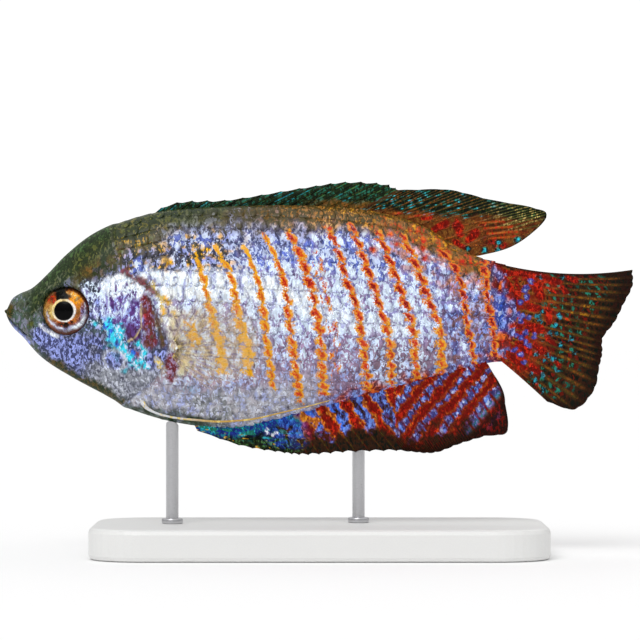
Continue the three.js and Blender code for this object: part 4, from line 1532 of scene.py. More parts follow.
@dataclass(frozen=True)
class Eye:
    """A domed eye: black pupil, pale ring and a streaked iris, deep-set in the head."""

    along: float = 7.93
    height: float = 1.15
    radius: float = 3.14
    middle: float = 2.55
    depth: float = 1.65
    lean: float = 11.0
    pupil: float = 1.27
    ring: float = 1.49

    def profile(self, r: Array) -> Array:
        """The relief of the front of the eye at a distance from its middle, in mm."""
        bulge = 0.16 * np.sqrt(np.clip(1 - (r / self.pupil) ** 2, 0, 1))
        lip = 0.05 * bell(r - (self.pupil + self.ring) / 2, 0.13)
        dish = -0.09 * bell(r - 2.0, 0.35)
        return bulge + lip + dish + 0.05 * bell(r - 2.55, 0.12)

    def paint(self, right: Array, up: Array) -> Paintwork:
        """Paints the eye.

        Args:
            right: distance behind the middle, in mm.
            up: distance over it.

        Returns:
            The paint.
        """
        r, turn = np.hypot(right, up), np.degrees(np.arctan2(up, right))
        grain = Grain(23)
        streak = grain(turn / 9, r * 1.4, 1.0) - 0.5
        cloud = grain(right * 2.2 + 40, up * 2.2, 1.0) - 0.5

        def sector(at: float, width: float) -> Array:
            """A part of the iris around a bearing in degrees, with ragged sides."""
            return bell(((turn - at + 180) % 360 - 180) + 30 * cloud, width)

        def arc(level: Array | float, width: float, at: float, reach: float) -> Array:
            """A part of a ring of the iris."""
            return bell(r + 0.25 * streak - level, width) * sector(at, reach)

        inner = fade(r + 0.4 * streak, 1.9, 2.2)
        paint = Paintwork(right, up)
        paint(1, EMBER, IRIS_GOLD, 0.35)
        paint(sector(45, 36), IRIS_GOLD, EMBER, 0.25)
        paint(arc(2.3, 0.4, 52, 26), IRIS_GOLD, RING_GOLD, 0.5)
        paint(sector(182, 36), THREAD, BARK, 0.3)
        paint(sector(176, 34) * inner, STRAW, THREAD, 0.4)
        paint(sector(140, 18), IRIS_RIM, RED, 0.55)
        paint(sector(-5, 27), RUST, TAN, 0.4)
        paint(sector(-8, 25) * ease(r, 2.0, 2.2), PLUM, LILAC, 0.45)
        paint(arc(2.72, 0.16, 11, 10) * 1.2, MAUVE, WHITE, 0.7)
        paint(sector(-88, 58) * ease(r, 1.5, 1.8), BARK, STEEL, 0.4)
        paint(arc(2.25, 0.25, -95, 50), STEEL, LILAC, 0.4)
        paint(arc(1.85, 0.22, -38, 13), TAN, EMBER, 0.4)
        paint((sector(-60, 9) + sector(-110, 11)) * inner, SOOT, EMBER, 0.35)
        paint(1.3 * sector(-84, 15) * inner, PUPIL, SOOT, 0.2)
        rim = ease(r + 0.3 * streak, 2.62, 2.82)
        paint(rim * 0.9, IRIS_RIM, SOOT, 0.4)
        paint(rim * sector(-88, 52), BARK, MAROON, 0.3)
        paint(rim * sector(0, 24), SOOT, MAROON, 0.5)
        paint(rim * sector(175, 40), UMBER, THREAD, 0.3)
        paint(1.4 * arc(lerp(2.68, 2.4, ease(-turn, 20, 65)), 0.2, -43, 28), ICE, WHITE, 0.5)
        paint(1.3 * arc(2.3, 0.12, -140, 24), SILVER, ICE, 0.5)
        paint(arc(2.22, 0.13, -107, 6), SILVER, WHITE, 0.4)
        paint(ease(r, 2.78, 2.94) * sector(95, 66), COAL, SOOT, 0.3)
        spokes = ease(grain(turn / 5 + 60, r * 0.9, 1.0), 0.6, 0.7) * ease(r, 1.6, 1.9)
        paint(0.5 * spokes, IRIS_RIM, SOOT, 0.5)
        outer = ease(r, 1.6, 2.7)
        side = (turn - lerp(92, 104, outer) + 180) % 360 - 180
        wedge = fade(np.abs(side + 20 * cloud), lerp(25, 17, outer), lerp(36, 29, outer))
        paint(wedge, PUPIL, COAL, 0.3)
        paint(ease(r, 3.0, 3.1), UMBER, COAL, 0.3)
        ring = self.ring - 0.04 + 0.12 * np.cos(np.radians(turn)) ** 2
        ring = ring + 0.05 * np.sin(np.radians(turn)) + 0.12 * streak
        inside = fade(r, ring - 0.06, ring + 0.06)
        paint(inside, RING_WHITE, RING_WHITE, 0.2)
        paint(inside * sector(150, 70), RING_GOLD, STRAW, 0.3)
        paint(inside * sector(86, 30) * 0.8, STRAW, THREAD, 0.4)
        pupil = self.pupil - 0.03 + 0.05 * np.cos(np.radians(turn)) ** 2
        paint(fade(r, pupil - 0.04, pupil + 0.05), PUPIL, PUPIL, 0)
        return paint

    def build(self, flank: Flank, material: Material) -> None:
        """Makes one eye.

        Args:
            flank: the side that it is on.
            material: what it is dressed in.
        """
        Bench.clear()
        bpy.ops.mesh.primitive_uv_sphere_add(segments=176, ring_count=110, radius=1)
        piece = bpy.context.active_object
        piece.name = piece.data.name = f"eyeball_{flank.word}"
        x, y, z = Bench.spots(piece).T
        right, up = x * self.radius, y * self.radius
        out = z * self.depth + np.where(z > 0, self.profile(np.hypot(right, up)), 0)
        lean = math.radians(self.lean)
        Bench.shape(
            piece, self.along + right * math.cos(lean) - out * math.sin(lean),
            flank.value * (self.middle + out * math.cos(lean) + right * math.sin(lean)),
            self.height + up)
        self.paint(right, up).dress(piece)
        Bench.close_up(piece)
        Bench.place(piece, "eye", material, (f"eye_{flank.word}",))


@dataclass
class FinPaint(Paintwork):
    """Paint for a fin: ray count, share and mm of the way out, how near a ray, how soft."""

    count: Array
    out: Array
    run: Array
    ray: Array
    soft: Array

    def blots(self, lines: Points, ragged: Array | float = 0.0) -> Array:
        """Blots along short lines, each given by its two ends and its reach."""
        found = np.zeros(len(self.along))
        for *ends, reach in lines:
            far, _ = off_line((ends[:2], ends[2:]), self.along, self.height)
            found = np.maximum(found, fade(far + ragged, reach - 0.12, reach + 0.12))
        return found

    def dashes(self, pitch: float, size: float, width: float, seed: int, keep: float = 0.5,
               split: int = 1) -> Array:
        """Dashes on the skin between the rays.

        Args:
            pitch: mm from one dash to the next, on the way out.
            size: the share of the pitch that a dash fills.
            width: the share of the room between two rays that it fills.
            seed: the draw for their unevenness.
            keep: where the draw must lie over for a dash to be there.
            split: how many webs there are from one ray to the next.

        Returns:
            How strongly each point belongs to a dash.
        """
        grain = Grain(seed)
        web = np.floor(self.count * split)
        across = np.abs(self.count * split - web - 0.5) * 2
        rows = self.run / pitch + 3.1 * grain.layer(web * 3.7, web * 1.3)
        rows = rows + 0.7 * grain(self.along, self.height, 0.5)
        away = np.abs(rows - np.round(rows)) * 2
        chosen = ease(grain.layer(web * 5.1 + 7, np.round(rows) * 2.3), keep - 0.08, keep + 0.08)
        inside = fade(across, width - 0.2, width + 0.2)
        return chosen * inside * fade(away, size - 0.2, size + 0.2)


@dataclass(frozen=True)
class Fin:
    """A fin: a thin rippled sheet on spines and branching rays."""

    name: str
    guides: Points
    spines: int
    soft_rays: int
    columns: int
    steps: int
    wave: float = 0.35
    waves: float = 1.4
    membrane: float = 0.3
    notch: float = 0.0
    spine_width: tuple[float, float] = (0.2, 0.1)
    ray_width: tuple[float, float] = (0.13, 0.075)
    ridge: float = 0.15
    fork: float = 0.25
    web_dip: float = 0.12
    rim_thinning: float = 0.75

    @property
    def rays(self) -> int:
        """How many spines and rays there are."""
        return self.spines + self.soft_rays

    def guide(self, share: Array, by_root: bool) -> list[Array]:
        """The fin's guide values at a share of the way across it."""
        table = np.asarray(self.guides, float)
        keys = table[:, 0] if by_root else np.arange(len(table), dtype=float)
        spot = lerp(keys[0], keys[-1], share)
        return [smooth_through(np.c_[keys, values], spot) for values in table.T]

    def ripple(self, share: Array, t: Array) -> Array:
        """How far the sheet swings to the side."""
        return self.wave * t * t * np.sin(self.waves * 2 * math.pi * share)

    def sheet(self, share: Array, t: Array) -> Trio:
        """The middle of the sheet, as along, side and height."""
        raise NotImplementedError

    def apart(self, share: Array, t: Array, other: Array, other_t: Array) -> Array:
        """The distance between two places of the sheet."""
        ends = np.stack(self.sheet(share, t)) - np.stack(self.sheet(other, other_t))
        return np.linalg.norm(ends, axis=0)

    def paint(self, paint: FinPaint) -> None:
        """Lays the fin's own paint."""
        raise NotImplementedError

    def ray_lines(self, share: Array, t: Array) -> Trio:
        """The fin's rays, each soft one splitting twice on its way out.

        Args:
            share: the share of the way across the fin.
            t: the share of the way out along a ray.

        Returns:
            The distance from the nearest ray in mm, how far the fin is a soft one there, and the
            place counted in rays.
        """
        count = share * (self.rays - 1)
        off = np.abs(count - np.round(count))
        soft = ease(count, self.spines - 0.8, self.spines - 0.2) if self.spines else np.ones(len(t))
        off = np.abs(off - self.fork * soft * ease(t, 0.12, 0.45))
        off = np.abs(off - 0.5 * self.fork * soft * ease(t, 0.45, 0.85))
        step = 0.002
        low, high = np.clip(share - step, 0, 1), np.clip(share + step, 0, 1)
        pitch = self.apart(high, t, low, t) / (high - low) / (self.rays - 1)
        return off * pitch, soft, count

    def build(self, material: Material, slot: str, replaces: str) -> Piece:
        """Makes the fin.

        Args:
            material: what it is dressed in.
            slot: the record's material slot.
            replaces: the solid that it stands for.

        Returns:
            The finished piece.
        """
        piece, column, row = Bench.grid(self.name, self.columns, self.steps)
        share, t = column / (self.columns - 1), row / (self.steps - 1)
        count = share * (self.rays - 1)
        spiny = fade(count, self.spines - 1, self.spines) if self.spines else 0 * t
        between = np.abs(count - np.round(count)) * 2
        length = self.apart(share, t * 0 + 1, share, t * 0)
        cut = self.notch * ease(length, 1.5, 4) * spiny * np.sqrt(between)
        cut = cut + self.web_dip * (1 - spiny) * between**2
        reach = t * (1 - cut / np.maximum(length, 1))
        Bench.shape(piece, *self.sheet(share, reach))
        Bench.write(piece, "share", share)
        Bench.write(piece, "out", reach)
        Bench.write(piece, "edge", t)
        Bench.finish_shape(piece, "SOLIDIFY", thickness=self.membrane * MM, offset=0.0)
        share, reach, edge = (Bench.read(piece, key) for key in ("share", "out", "edge"))
        distance, soft, count = self.ray_lines(share, reach)
        spine = lerp(*self.spine_width, reach)
        thin = lerp(*self.ray_width, reach)
        ray = np.where(soft < 0.5, bell(distance, spine), bell(distance, thin))
        rise = ray * self.ridge * lerp(1.4, 0.7, reach) * lerp(1.2, 0.8, soft)
        rise = rise - 0.5 * self.membrane * self.rim_thinning * ease(edge, 0.8, 1.0) * (1 - 0.7 * ray)
        spots = Bench.spots(piece)
        normals = np.zeros(len(spots) * 3, np.float32)
        piece.data.vertices.foreach_get("normal", normals)
        spots[:, 1] += normals.reshape(-1, 3)[:, 1] * rise * MM
        along, side, height = spots.T / MM
        along, height = along + MID_ALONG, height - AXIS_LEVEL
        Bench.shape(piece, along, side, height)
        run = self.apart(share, reach, share, 0 * reach)
        paint = FinPaint(along, height, count, reach, run, ray, soft)
        self.paint(paint)
        paint.dress(piece)
        Bench.close_up(piece)
        Bench.place(piece, slot, material, (replaces,))
        return piece


@dataclass(frozen=True)
class MidlineFin(Fin):
    """A fin on the midline of the back or the belly."""

    form: BodyForm = BodyForm()
    on_back: bool = True
    root_depth: float = 1.0

    def sheet(self, share: Array, t: Array) -> Trio:
        """The middle of the sheet, as along, side and height."""
        root, tip, tip_height = self.guide(share, True)
        if self.on_back:
            root_height = self.form.upper(root) - self.root_depth
        else:
            root_height = self.form.lower(root) + self.root_depth
        return lerp(root, tip, t), self.ripple(share, t), lerp(root_height, tip_height, t)


@dataclass(frozen=True)
class DorsalFin(MidlineFin):
    """The long fin of the back, black-green in front and red and brown behind."""

    red_blots: Points = (
        (56.2, 12.5, 54.7, 11.5, 0.42), (57.6, 12.3, 58, 11, 0.5), (59.9, 11.2, 59, 10.3, 0.45),
        (57.4, 9.9, 58.3, 9.1, 0.45), (60.6, 12.2, 60.9, 12.2, 0.25), (62.7, 9.2, 63.6, 9.5, 0.3),
        (61.2, 9.8, 62.1, 10, 0.28), (53.2, 12.9, 54.2, 13.1, 0.25),
    )
    streaks: Points = (
        (49.5, 13.6, 52.5, 13.9, 0.14), (51.5, 13.2, 54.5, 13.6, 0.12), (61, 11.7, 64.6, 11.9, 0.12),
        (61.5, 11, 65.3, 11.3, 0.12), (60.5, 12.4, 63.5, 12.6, 0.1), (61.8, 10.4, 65, 10.7, 0.1),
    )
    dots: Points = ((59, 9.15), (61.1, 8.9), (62.9, 9.95), (62.8, 8.9), (65.3, 10.2))

    def paint(self, paint: FinPaint) -> None:
        """Lays the fin's own paint.

        Args:
            paint: the paint to lay on.
        """
        grain = Grain(31)
        along, height, out, ray, soft = paint.along, paint.height, paint.out, paint.ray, paint.soft
        rough = grain(along, height, 1.2) - 0.5
        fine = grain(along + 60, height, 0.45, 1.0) - 0.5
        speck = ease(fine, -0.08, 0.08)
        over = height - self.form.upper(np.clip(along, 0, 60)) + rough
        spiny = 1 - soft
        paint(1, INK, PINE, 0.3)
        paint(ray * 0.5, PINE, MOSS, 0.3)
        rear = paint.count - np.floor(paint.count)
        line = bell(rear - 0.22, 0.085) * ease(fine, -0.14, 0.04) * spiny * ease(out, 0.3, 0.5)
        line = line * lerp(0.35, 1, ease(along, 28, 36))
        paint(line, LEAF, SEA, 0.5)
        paint(bell(rear - 0.6, 0.16) * spiny * 0.7, PINE, SEA, 0.32)
        paint(line * ease(rough, 0.0, 0.12) * fade(over, 1.4, 2.2), TEAL, AQUA, 0.35)
        foot = fade(over, 0.1, 0.9) * spiny * ease(along, 37, 43)
        paint(foot, UMBER, RUST, 0.4)
        dark = ease(height - 13.75 + 0.05 * (along - 50) + 1.2 * rough, -0.4, 0.5)
        paint(soft, COPPER, COCOA, 0.5)
        paint(soft * (1 - ray) * 0.75, COCOA, RUST, 0.45)
        paint(soft * paint.blots(self.red_blots, 0.5 * rough + 0.4 * fine), WINE, RED, 0.25)
        paint(soft * ease(along, 59, 62) * speck * 0.7, COCOA, WINE, 0.4)
        paint(soft * dark, INK, PINE, 0.3)
        paint(soft * dark * ray * 0.75, KHAKI, COPPER, 0.3)
        tip = ease(along, 59, 66) * ease(height + 0.1 * along, 17.5, 18.5)
        paint(soft * tip * ray, MOSS, STRAW, 0.16)
        paint(soft * (1 - dark) * paint.blots(self.streaks), COPPER, RED, 0.3)
        glint = soft * dark * paint.dashes(1.25, 0.36, 0.42, 3, 0.5, 4)
        paint(glint * fade(along, 61, 65), SEA, AQUA, 0.36)
        paint(glint * ease(along, 61, 65), LEAF, STRAW, 0.3)
        dots = paint.near(self.dots)
        paint(0.9 * fade(dots + 0.4 * fine, 0.36, 0.5), INK, SEA, 0.2)
        paint(fade(dots + 0.4 * fine, 0.12, 0.26), TEAL, AQUA, 0.4)
        paint(ease(out, 0.93, 1.0) * 0.8, INK, PINE, 0.4)


@dataclass(frozen=True)
class AnalFin(MidlineFin):
    """The long fin of the belly, with red and blue-violet bars over a brown edge."""

    glints: Points = (
        (33.2, -14.2, 33.6, -14.5, 0.2), (34, -14.6, 34.6, -14.4, 0.22), (33.4, -13.9, 33.5, -14, 0.16),
    )
    amber_blot: Points = ((38.2, -12.3, 39.6, -12.9, 0.6),)

    def paint(self, paint: FinPaint) -> None:
        """Lays the fin's own paint.

        Args:
            paint: the paint to lay on.
        """
        grain = Grain(37)
        along, height, out, ray = paint.along, paint.height, paint.out, paint.ray
        rough = grain(along, height, 1.1) - 0.5
        fine = grain(along + 60, height, 0.4) - 0.5
        ragged = rough + 0.7 * fine
        front = fade(along + 2.5 * rough, 35, 39.5)
        across = np.abs(paint.count - np.floor(paint.count) - 0.5) * 2
        web = fade(across, 0.5, 0.9)
        behind = along > 49.7
        slant = along + np.where(behind, -0.8, 0.5) * (height + 12) - np.where(behind, 0.6, 0)
        bars = np.sin((slant + 1.2 * ragged) * 2 * math.pi / np.where(behind, 2.8, 3.2))
        late = ease(along, 48, 52)
        paint(1, COCOA, INK, 0.35)
        paint(ray * 0.55, COCOA, WINE, 0.5)
        paint(ray * 0.4 * (1 - late), KHAKI, COCOA, 0.4)
        upper = fade(out + 0.35 * ragged + 0.12 * (1 - late), 0.6, 0.85)
        paint(upper, WINE, RED, lerp(0.25, 0.08, late))
        paint(upper * bell(bars + 0.1, 0.3) * (1 - 0.6 * late), COPPER, AMBER, 0.35)
        blue = upper * ease(bars, lerp(-0.02, 0.35, late), lerp(0.3, 0.62, late))
        blob = ease(grain(along * 1.2 + 5, height * 1.3, 0.8) + 0.15 * web, 0.46, 0.56)
        paint(blue, COCOA, VIOLET, 0.4)
        paint(blue * np.maximum(blob, late * web), VIOLET, SKY, lerp(0.54, 0.27, late))
        paint(blue * blob * fade(along, 43, 48) * web, BLUE, SKY, 0.4)
        paint(blue * web * ease(fine, 0.07, 0.15) * late, LILAC, ICE, 0.25)
        paint(late * blue * ease(across, 0.6, 0.95) * 0.9, WINE, COCOA, 0.4)
        far = ease(slant, 60.9, 61.5) * behind
        paint(far * 0.85, HEM, WINE, 0.3)
        last = 0.8 * bell(slant - 60.3, 0.35) * behind * fade(out, 0.75, 0.95)
        paint(last * web, TEAL, SKY, 0.5)
        over = self.form.lower(along) - height + 0.8 * ragged
        paint(front, INK, PINE, 0.35)
        paint(front * fade(over, 0.5, 1.5), ROYAL, TEAL, 0.4)
        paint(front * blob * ease(along, 32, 36) * fade(out, 0.7, 0.9), ROYAL, BLUE, 0.5)
        sea = ease(grain(along * 0.8 + 55, height * 2.6, 0.8), 0.56, 0.64)
        paint(front * sea * (1 - 0.6 * ease(along, 31, 35)) * fade(out, 0.5, 0.8), SEA, AQUA, 0.25)
        leaf = ease(grain(along + 85, height * 3, 0.7), 0.54, 0.62) * ease(out, 0.45, 0.7)
        paint(front * leaf * 0.8, PINE, LEAF, 0.35)
        gold = ease(grain(along * 1.2 + 5, height * 3, 0.7), 0.76, 0.8) * ease(out, 0.4, 0.6)
        paint(front * gold, GOLD, STRAW, 0.3)
        paint(paint.blots(self.glints, 0.4 * fine), LILAC, WHITE, 0.7)
        paint(paint.blots(self.amber_blot, ragged), COPPER, AMBER, 0.4)
        paint(ease(out, 0.9, 0.99) * 0.8, HEM, INK, 0.3)


@dataclass(frozen=True)
class TailFin(Fin):
    """The tail: red blots, blue and teal dots, fine olive rays and a dark edge."""

    red_blots: Points = (
        (63, 6.1, 68.1, 5.7, 0.38), (68.6, 5.5, 70.6, 4.9, 0.4), (63.9, 4.3, 65, 2.6, 0.65),
        (67.6, 4.2, 68.2, 3, 0.6), (66.9, 1.6, 67.8, 1.6, 0.55), (66.9, -0.9, 68.2, -1.2, 0.58),
        (64.8, -0.6, 65.7, -0.9, 0.3), (69.2, 1.3, 69.3, -0.2, 0.3), (65.3, -3, 66.9, -4.2, 0.4),
        (67.6, -3.3, 68.5, -4, 0.36), (64.6, -4.8, 66.2, -6.1, 0.36), (67.1, -5.8, 67.9, -6.6, 0.45),
        (70.1, -5.4, 70.7, -5.8, 0.28), (71.8, 5.3, 72.6, 5.1, 0.34), (70.9, 4.1, 71.5, 3.6, 0.28),
        (69.6, 3.7, 70.2, 3.5, 0.22), (71.3, 0.4, 71.6, 0.1, 0.22), (69.1, -2.5, 69.9, -2.9, 0.26),
        (67.6, -8.1, 68.1, -8.7, 0.22), (63.2, -3, 63.7, -3.3, 0.35), (65, 5.3, 65.5, 3.7, 0.3),
    )
    blue_dots: Points = (
        (67, 4.9), (66.5, 4.3), (66.2, 3.8), (66.3, 2.9), (65.7, 2.3), (65.4, 0.8), (65.9, 0.6),
        (65.6, -0.1), (66.7, 0.4), (65.1, -1.9), (65.7, -2.3), (66.3, -2.8), (66.8, -3.2),
        (66.4, -1.7), (67.4, -2.1), (65.6, -4.4), (66.2, -5.4), (64.9, -3.8),
    )
    teal_dots: Points = (
        (67.9, 0.5), (68.4, 1), (68.2, -0.1), (69.3, -1.7), (70.2, -0.7), (70.6, 0.5), (70.2, -1.7),
        (70.8, -3.3), (69.1, -4.5), (69.8, -4.9), (68.7, -5.2), (67.6, -4.5), (72.1, -2.5),
        (72.4, -4.2), (70.4, -6.5), (66.9, -7), (67.5, -7.8), (68.4, -7), (68.5, -9), (68.1, 5.5),
        (70.9, 5.4),
    )

    def sheet(self, share: Array, t: Array) -> Trio:
        """The middle of the sheet, as along, side and height."""
        root, root_height, tip, tip_height, bow = self.guide(share, False)
        height = lerp(root_height, tip_height, t) + bow * 4 * t * (1 - t)
        return lerp(root, tip, t), self.ripple(share, t), height

    def paint(self, paint: FinPaint) -> None:
        """Lays the fin's own paint.

        Args:
            paint: the paint to lay on.
        """
        grain = Grain(41)
        along, height, out, ray = paint.along, paint.height, paint.out, paint.ray
        rough = grain(along, height, 1.1) - 0.5
        fine = grain(along + 60, height, 0.4) - 0.5
        base = fade(out + 0.25 * rough, 0.24, 0.52)
        ray = bell(np.abs(paint.count - np.round(paint.count)), 0.17)
        paint(1, COCOA, INK, 0.4)
        paint(base * 0.6, COPPER, COCOA, 0.55)
        paint(ray * 0.42, KHAKI, COPPER, 0.08)
        paint(ray * base * 0.6, COPPER, KHAKI, 0.3)
        streaks = bell(out - 0.62, 0.16) * bell(height + 1, 4.5) * ease(rough, 0, 0.12)
        paint(ray * streaks * 0.45, COPPER, GOLD, 0.25)
        redder = base * ease(grain(along * 0.8 + 3, height, 0.9), 0.4, 0.5) * 0.85
        paint(redder, WINE, RED, 0.25)
        far = ease(out, 0.25, 0.4) * fade(out, 0.74, 0.86)
        paint(0.75 * far * paint.dashes(1.0, 0.55, 0.6, 19, 0.45), WINE, INK, 0.2)
        paint(far * paint.dashes(1.25, 0.4, 0.55, 13), PINE, SEA, 0.45)
        paint(paint.blots(self.red_blots, 0.45 * rough + 0.35 * fine), WINE, RED, 0.22)
        for dots, dark, light, glint, share in (
            (self.blue_dots, ROYAL, AZURE, ICE, 0.2),
            (self.teal_dots, INK, TEAL, AQUA, 0.35),
        ):
            away = paint.near(dots) + 0.55 * fine
            paint(0.85 * fade(away, 0.27, 0.42), dark, light, share)
            paint(0.7 * fade(away, 0.0, 0.18), light, glint, 0.25)
        spark = bell(along - 63.4, 1.1) * ease(fine, 0.04, 0.14)
        paint(spark * fade(np.abs(height - 0.3), 2, 3), ROYAL, SKY, 0.35)
        rim = ease(out + 0.05 * rough, 0.84, 0.95)
        rim = np.maximum(rim, ease(-paint.count, -0.7, -0.1))
        paint(rim * 0.85, HEM, INK, 0.3)


@dataclass(frozen=True)
class PectoralFin(Fin):
    """A nearly clear fin behind the gill cover."""

    form: BodyForm = BodyForm()
    flank: Flank = Flank.LEFT
    root_sunk: float = 0.4
    spread: float = 3.6
    bow: float = 0.6

    def sheet(self, share: Array, t: Array) -> Trio:
        """The middle of the sheet, as along, side and height."""
        root, root_height, tip, tip_height, bow = self.guide(share, False)
        angle = self.form.angle_at(root, root_height)
        start = self.form.section(root, angle)[0] - self.root_sunk
        out = start + self.spread * t + self.bow * 4 * t * (1 - t)
        height = lerp(root_height, tip_height, t) + bow * 4 * t * (1 - t)
        return lerp(root, tip, t), self.flank.value * out, height

    def paint(self, paint: FinPaint) -> None:
        """Lays the fin's own paint."""
        paint(1, SAND, PEARL, 0.3)
        paint(paint.ray, STRAW, SAND, 0.3)
        paint(fade(paint.out, 0.04, 0.14), UMBER, STRAW, 0.4)

    def build(self, material: Material, slot: str, replaces: str) -> Piece:
        """Makes the fin and writes how much of it covers what lies behind.

        Args:
            material: what it is dressed in.
            slot: the record's material slot.
            replaces: the solid that it stands for.

        Returns:
            The finished piece.
        """
        piece = super().build(material, slot, replaces)
        share, out = Bench.read(piece, "share"), Bench.read(piece, "out")
        distance, _, _ = self.ray_lines(share, out)
        ray = bell(distance, lerp(*self.ray_width, out))
        cover = 0.07 + 0.2 * ray * lerp(1.2, 0.6, out) + 0.5 * fade(out, 0.03, 0.12)
        Bench.write(piece, "cover", np.clip(cover, 0, 1))
        return piece


@dataclass(frozen=True)
class Feeler:
    """A thread-like pelvic fin, which runs back under the belly."""

    form: BodyForm
    flank: Flank
    route: Points = (
        (17.2, -10.3), (18.1, -10.9), (19.6, -11.6), (21.7, -12.1), (24.4, -12.4), (27, -12.6),
        (29.5, -12.5), (32, -12.2), (35, -11.5), (38, -10.8), (41.4, -9.9),
    )
    root_radius: float = 0.34
    radius: float = 0.14
    tip_radius: float = 0.07
    clearance: float = 0.4
    sides: int = 14
    steps: int = 150

    def build(self, material: Material) -> None:
        """Makes the feeler.

        Args:
            material: what it is dressed in.
        """
        route = np.asarray(self.route, float)
        angle = self.form.angle_at(route[:, 0], route[:, 1])
        out = self.form.outward(route[:, 0], angle)
        off = np.full(len(route), self.radius + self.clearance)
        off[0], off[1] = -0.4, 0.45
        spots = np.stack([route[:, 0], self.form.section(route[:, 0], angle)[0], route[:, 1]], 1)
        spots += out * off[:, None]
        marks = np.linspace(0, len(route) - 1, self.steps)
        index = np.arange(len(route), dtype=float)
        line = np.stack([smooth_through(np.c_[index, spots[:, k]], marks) for k in range(3)], 1)
        run = np.gradient(line, axis=0)
        run /= np.linalg.norm(run, axis=1, keepdims=True)
        piece, column, row = Bench.grid(f"feeler_{self.flank.word}", self.steps, self.sides + 1)
        turn = row / self.sides * 2 * math.pi
        share = column / (self.steps - 1)
        radius = lerp(self.root_radius, self.radius, ease(share, 0, 0.2))
        radius = lerp(radius, self.tip_radius, ease(share, 0.5, 1.0))
        radius = radius * np.sqrt(np.clip((1 - share) * 60, 0, 1)) * np.clip(share * 200, 0, 1)
        up = np.cross(run, (0, 1, 0))
        across = np.cross(up, run)
        spots = line[column] + radius[:, None] * (
            up[column] * np.cos(turn)[:, None] + across[column] * np.sin(turn)[:, None])
        Bench.shape(piece, spots[:, 0], spots[:, 1] * self.flank.value, spots[:, 2])
        paint = Paintwork(spots[:, 0], spots[:, 2])
        paint(1, THREAD, STRAW, 0.3)
        paint(fade(share, 0.25, 0.5), ASH, STRAW, 0.25)
        paint.dress(piece)
        Bench.close_up(piece, 2e-6)
        Bench.place(piece, "feeler", material, (f"pelvic_feeler_{self.flank.word}",))


DORSAL = DorsalFin(
    "dorsal_fin_sheet",
    ((17.6, 19.8, 14.35), (19.6, 22.2, 15.15), (22.6, 25.6, 15.3), (24.6, 28.2, 15.35),
     (27, 31.5, 15.8), (32, 38.5, 17), (36.5, 43.5, 17.7), (41, 48.6, 17.4), (44.5, 50.8, 16.65),
     (48, 56.5, 16.65), (51.5, 62, 15.35), (54, 67.3, 14.35), (56, 69.1, 13.35), (57, 67.6, 11.5),
     (57.8, 64.6, 9.4), (58.6, 60.6, 8.4)),
    spines=16, soft_rays=9, columns=660, steps=66, notch=0.5,
)
ANAL = AnalFin(
    "anal_fin_sheet",
    ((23.6, 24.4, -14.15), (26, 29.6, -16), (30.4, 35, -16.95), (34.4, 38.2, -17.3),
     (39, 43.6, -16.95), (44, 50.4, -16.75), (49, 54.7, -16.95), (52.5, 58, -15.8),
     (55.5, 61.2, -14.85), (57.6, 64, -14.25), (59, 63.8, -11), (60, 63.4, -9), (60.7, 62.4, -7.4),
     (61, 61.8, -6.6)),
    spines=17, soft_rays=14, columns=680, steps=64, notch=0.35, on_back=False,
)
TAIL = TailFin(
    "tail_fin_sheet",
    ((62, 7.4, 79.95, 6.4, -0.95), (63, 5.4, 80, 4.4, -0.3), (63.8, 3.6, 78.9, 2.1, 0),
     (64.2, 2, 77.7, -0.3, 0), (64.4, 0.6, 76.2, -2.3, 0), (64.4, -0.8, 76.1, -4.2, 0),
     (64.2, -2, 75.7, -6, 0), (63.8, -3, 75, -9, 0), (63.1, -4, 72.6, -11.4, 0.1),
     (62.5, -4.7, 69.1, -10.4, 0.1)),
    spines=0, soft_rays=20, columns=440, steps=104, wave=0.5, waves=1.1, ridge=0.11, fork=0.1,
)
PECTORAL_GUIDES = (
    (21.4, -2.7, 24.8, 3.2, 0.3), (21.6, -3, 28.2, 2.4, 0.2), (21.7, -3.3, 30.9, 0.6, 0.1),
    (21.7, -3.6, 32.3, -2.4, 0), (21.6, -3.9, 31.9, -5.3, -0.1), (21.4, -4.2, 29.7, -7.6, -0.2),
    (21.2, -4.5, 26.2, -8.9, -0.3),
)


@dataclass(frozen=True)
class SatinFinish:
    """A plain satin material with a faint grain. Pairs are a range over the grain and its start."""

    name: str
    stretch: tuple[float, float, float]
    grain: float
    tone: tuple[float, float]
    roughness: tuple[float, float]
    blue: float
    relief_strength: float
    metallic: float = 0.0

    def make(self) -> Material:
        """Builds the material."""
        material = bpy.data.materials.new(self.name)
        made = Wiring.new(material)
        grain = made.noise(made.place(*self.stretch), self.grain, 3)
        tone = grain * self.tone[0] + self.tone[1]
        colour = made.value("CombineColor", {0: tone, 1: tone, 2: tone * self.blue})
        made.surface(grain, 0.01, self.relief_strength, {
            "Base Color": colour, "Roughness": grain * self.roughness[0] + self.roughness[1],
            "Metallic": self.metallic})
        return material


BOARD_FINISH = SatinFinish("satin_white", (1, 1, 1), 5.0, (0.05, 0.76), (0.15, 0.32), 0.985, 0.5)
ROD_FINISH = SatinFinish("satin_steel", (1, 1, 9), 2.2, (0.16, 0.5), (0.2, 0.22), 1.03, 0.4, 1.0)


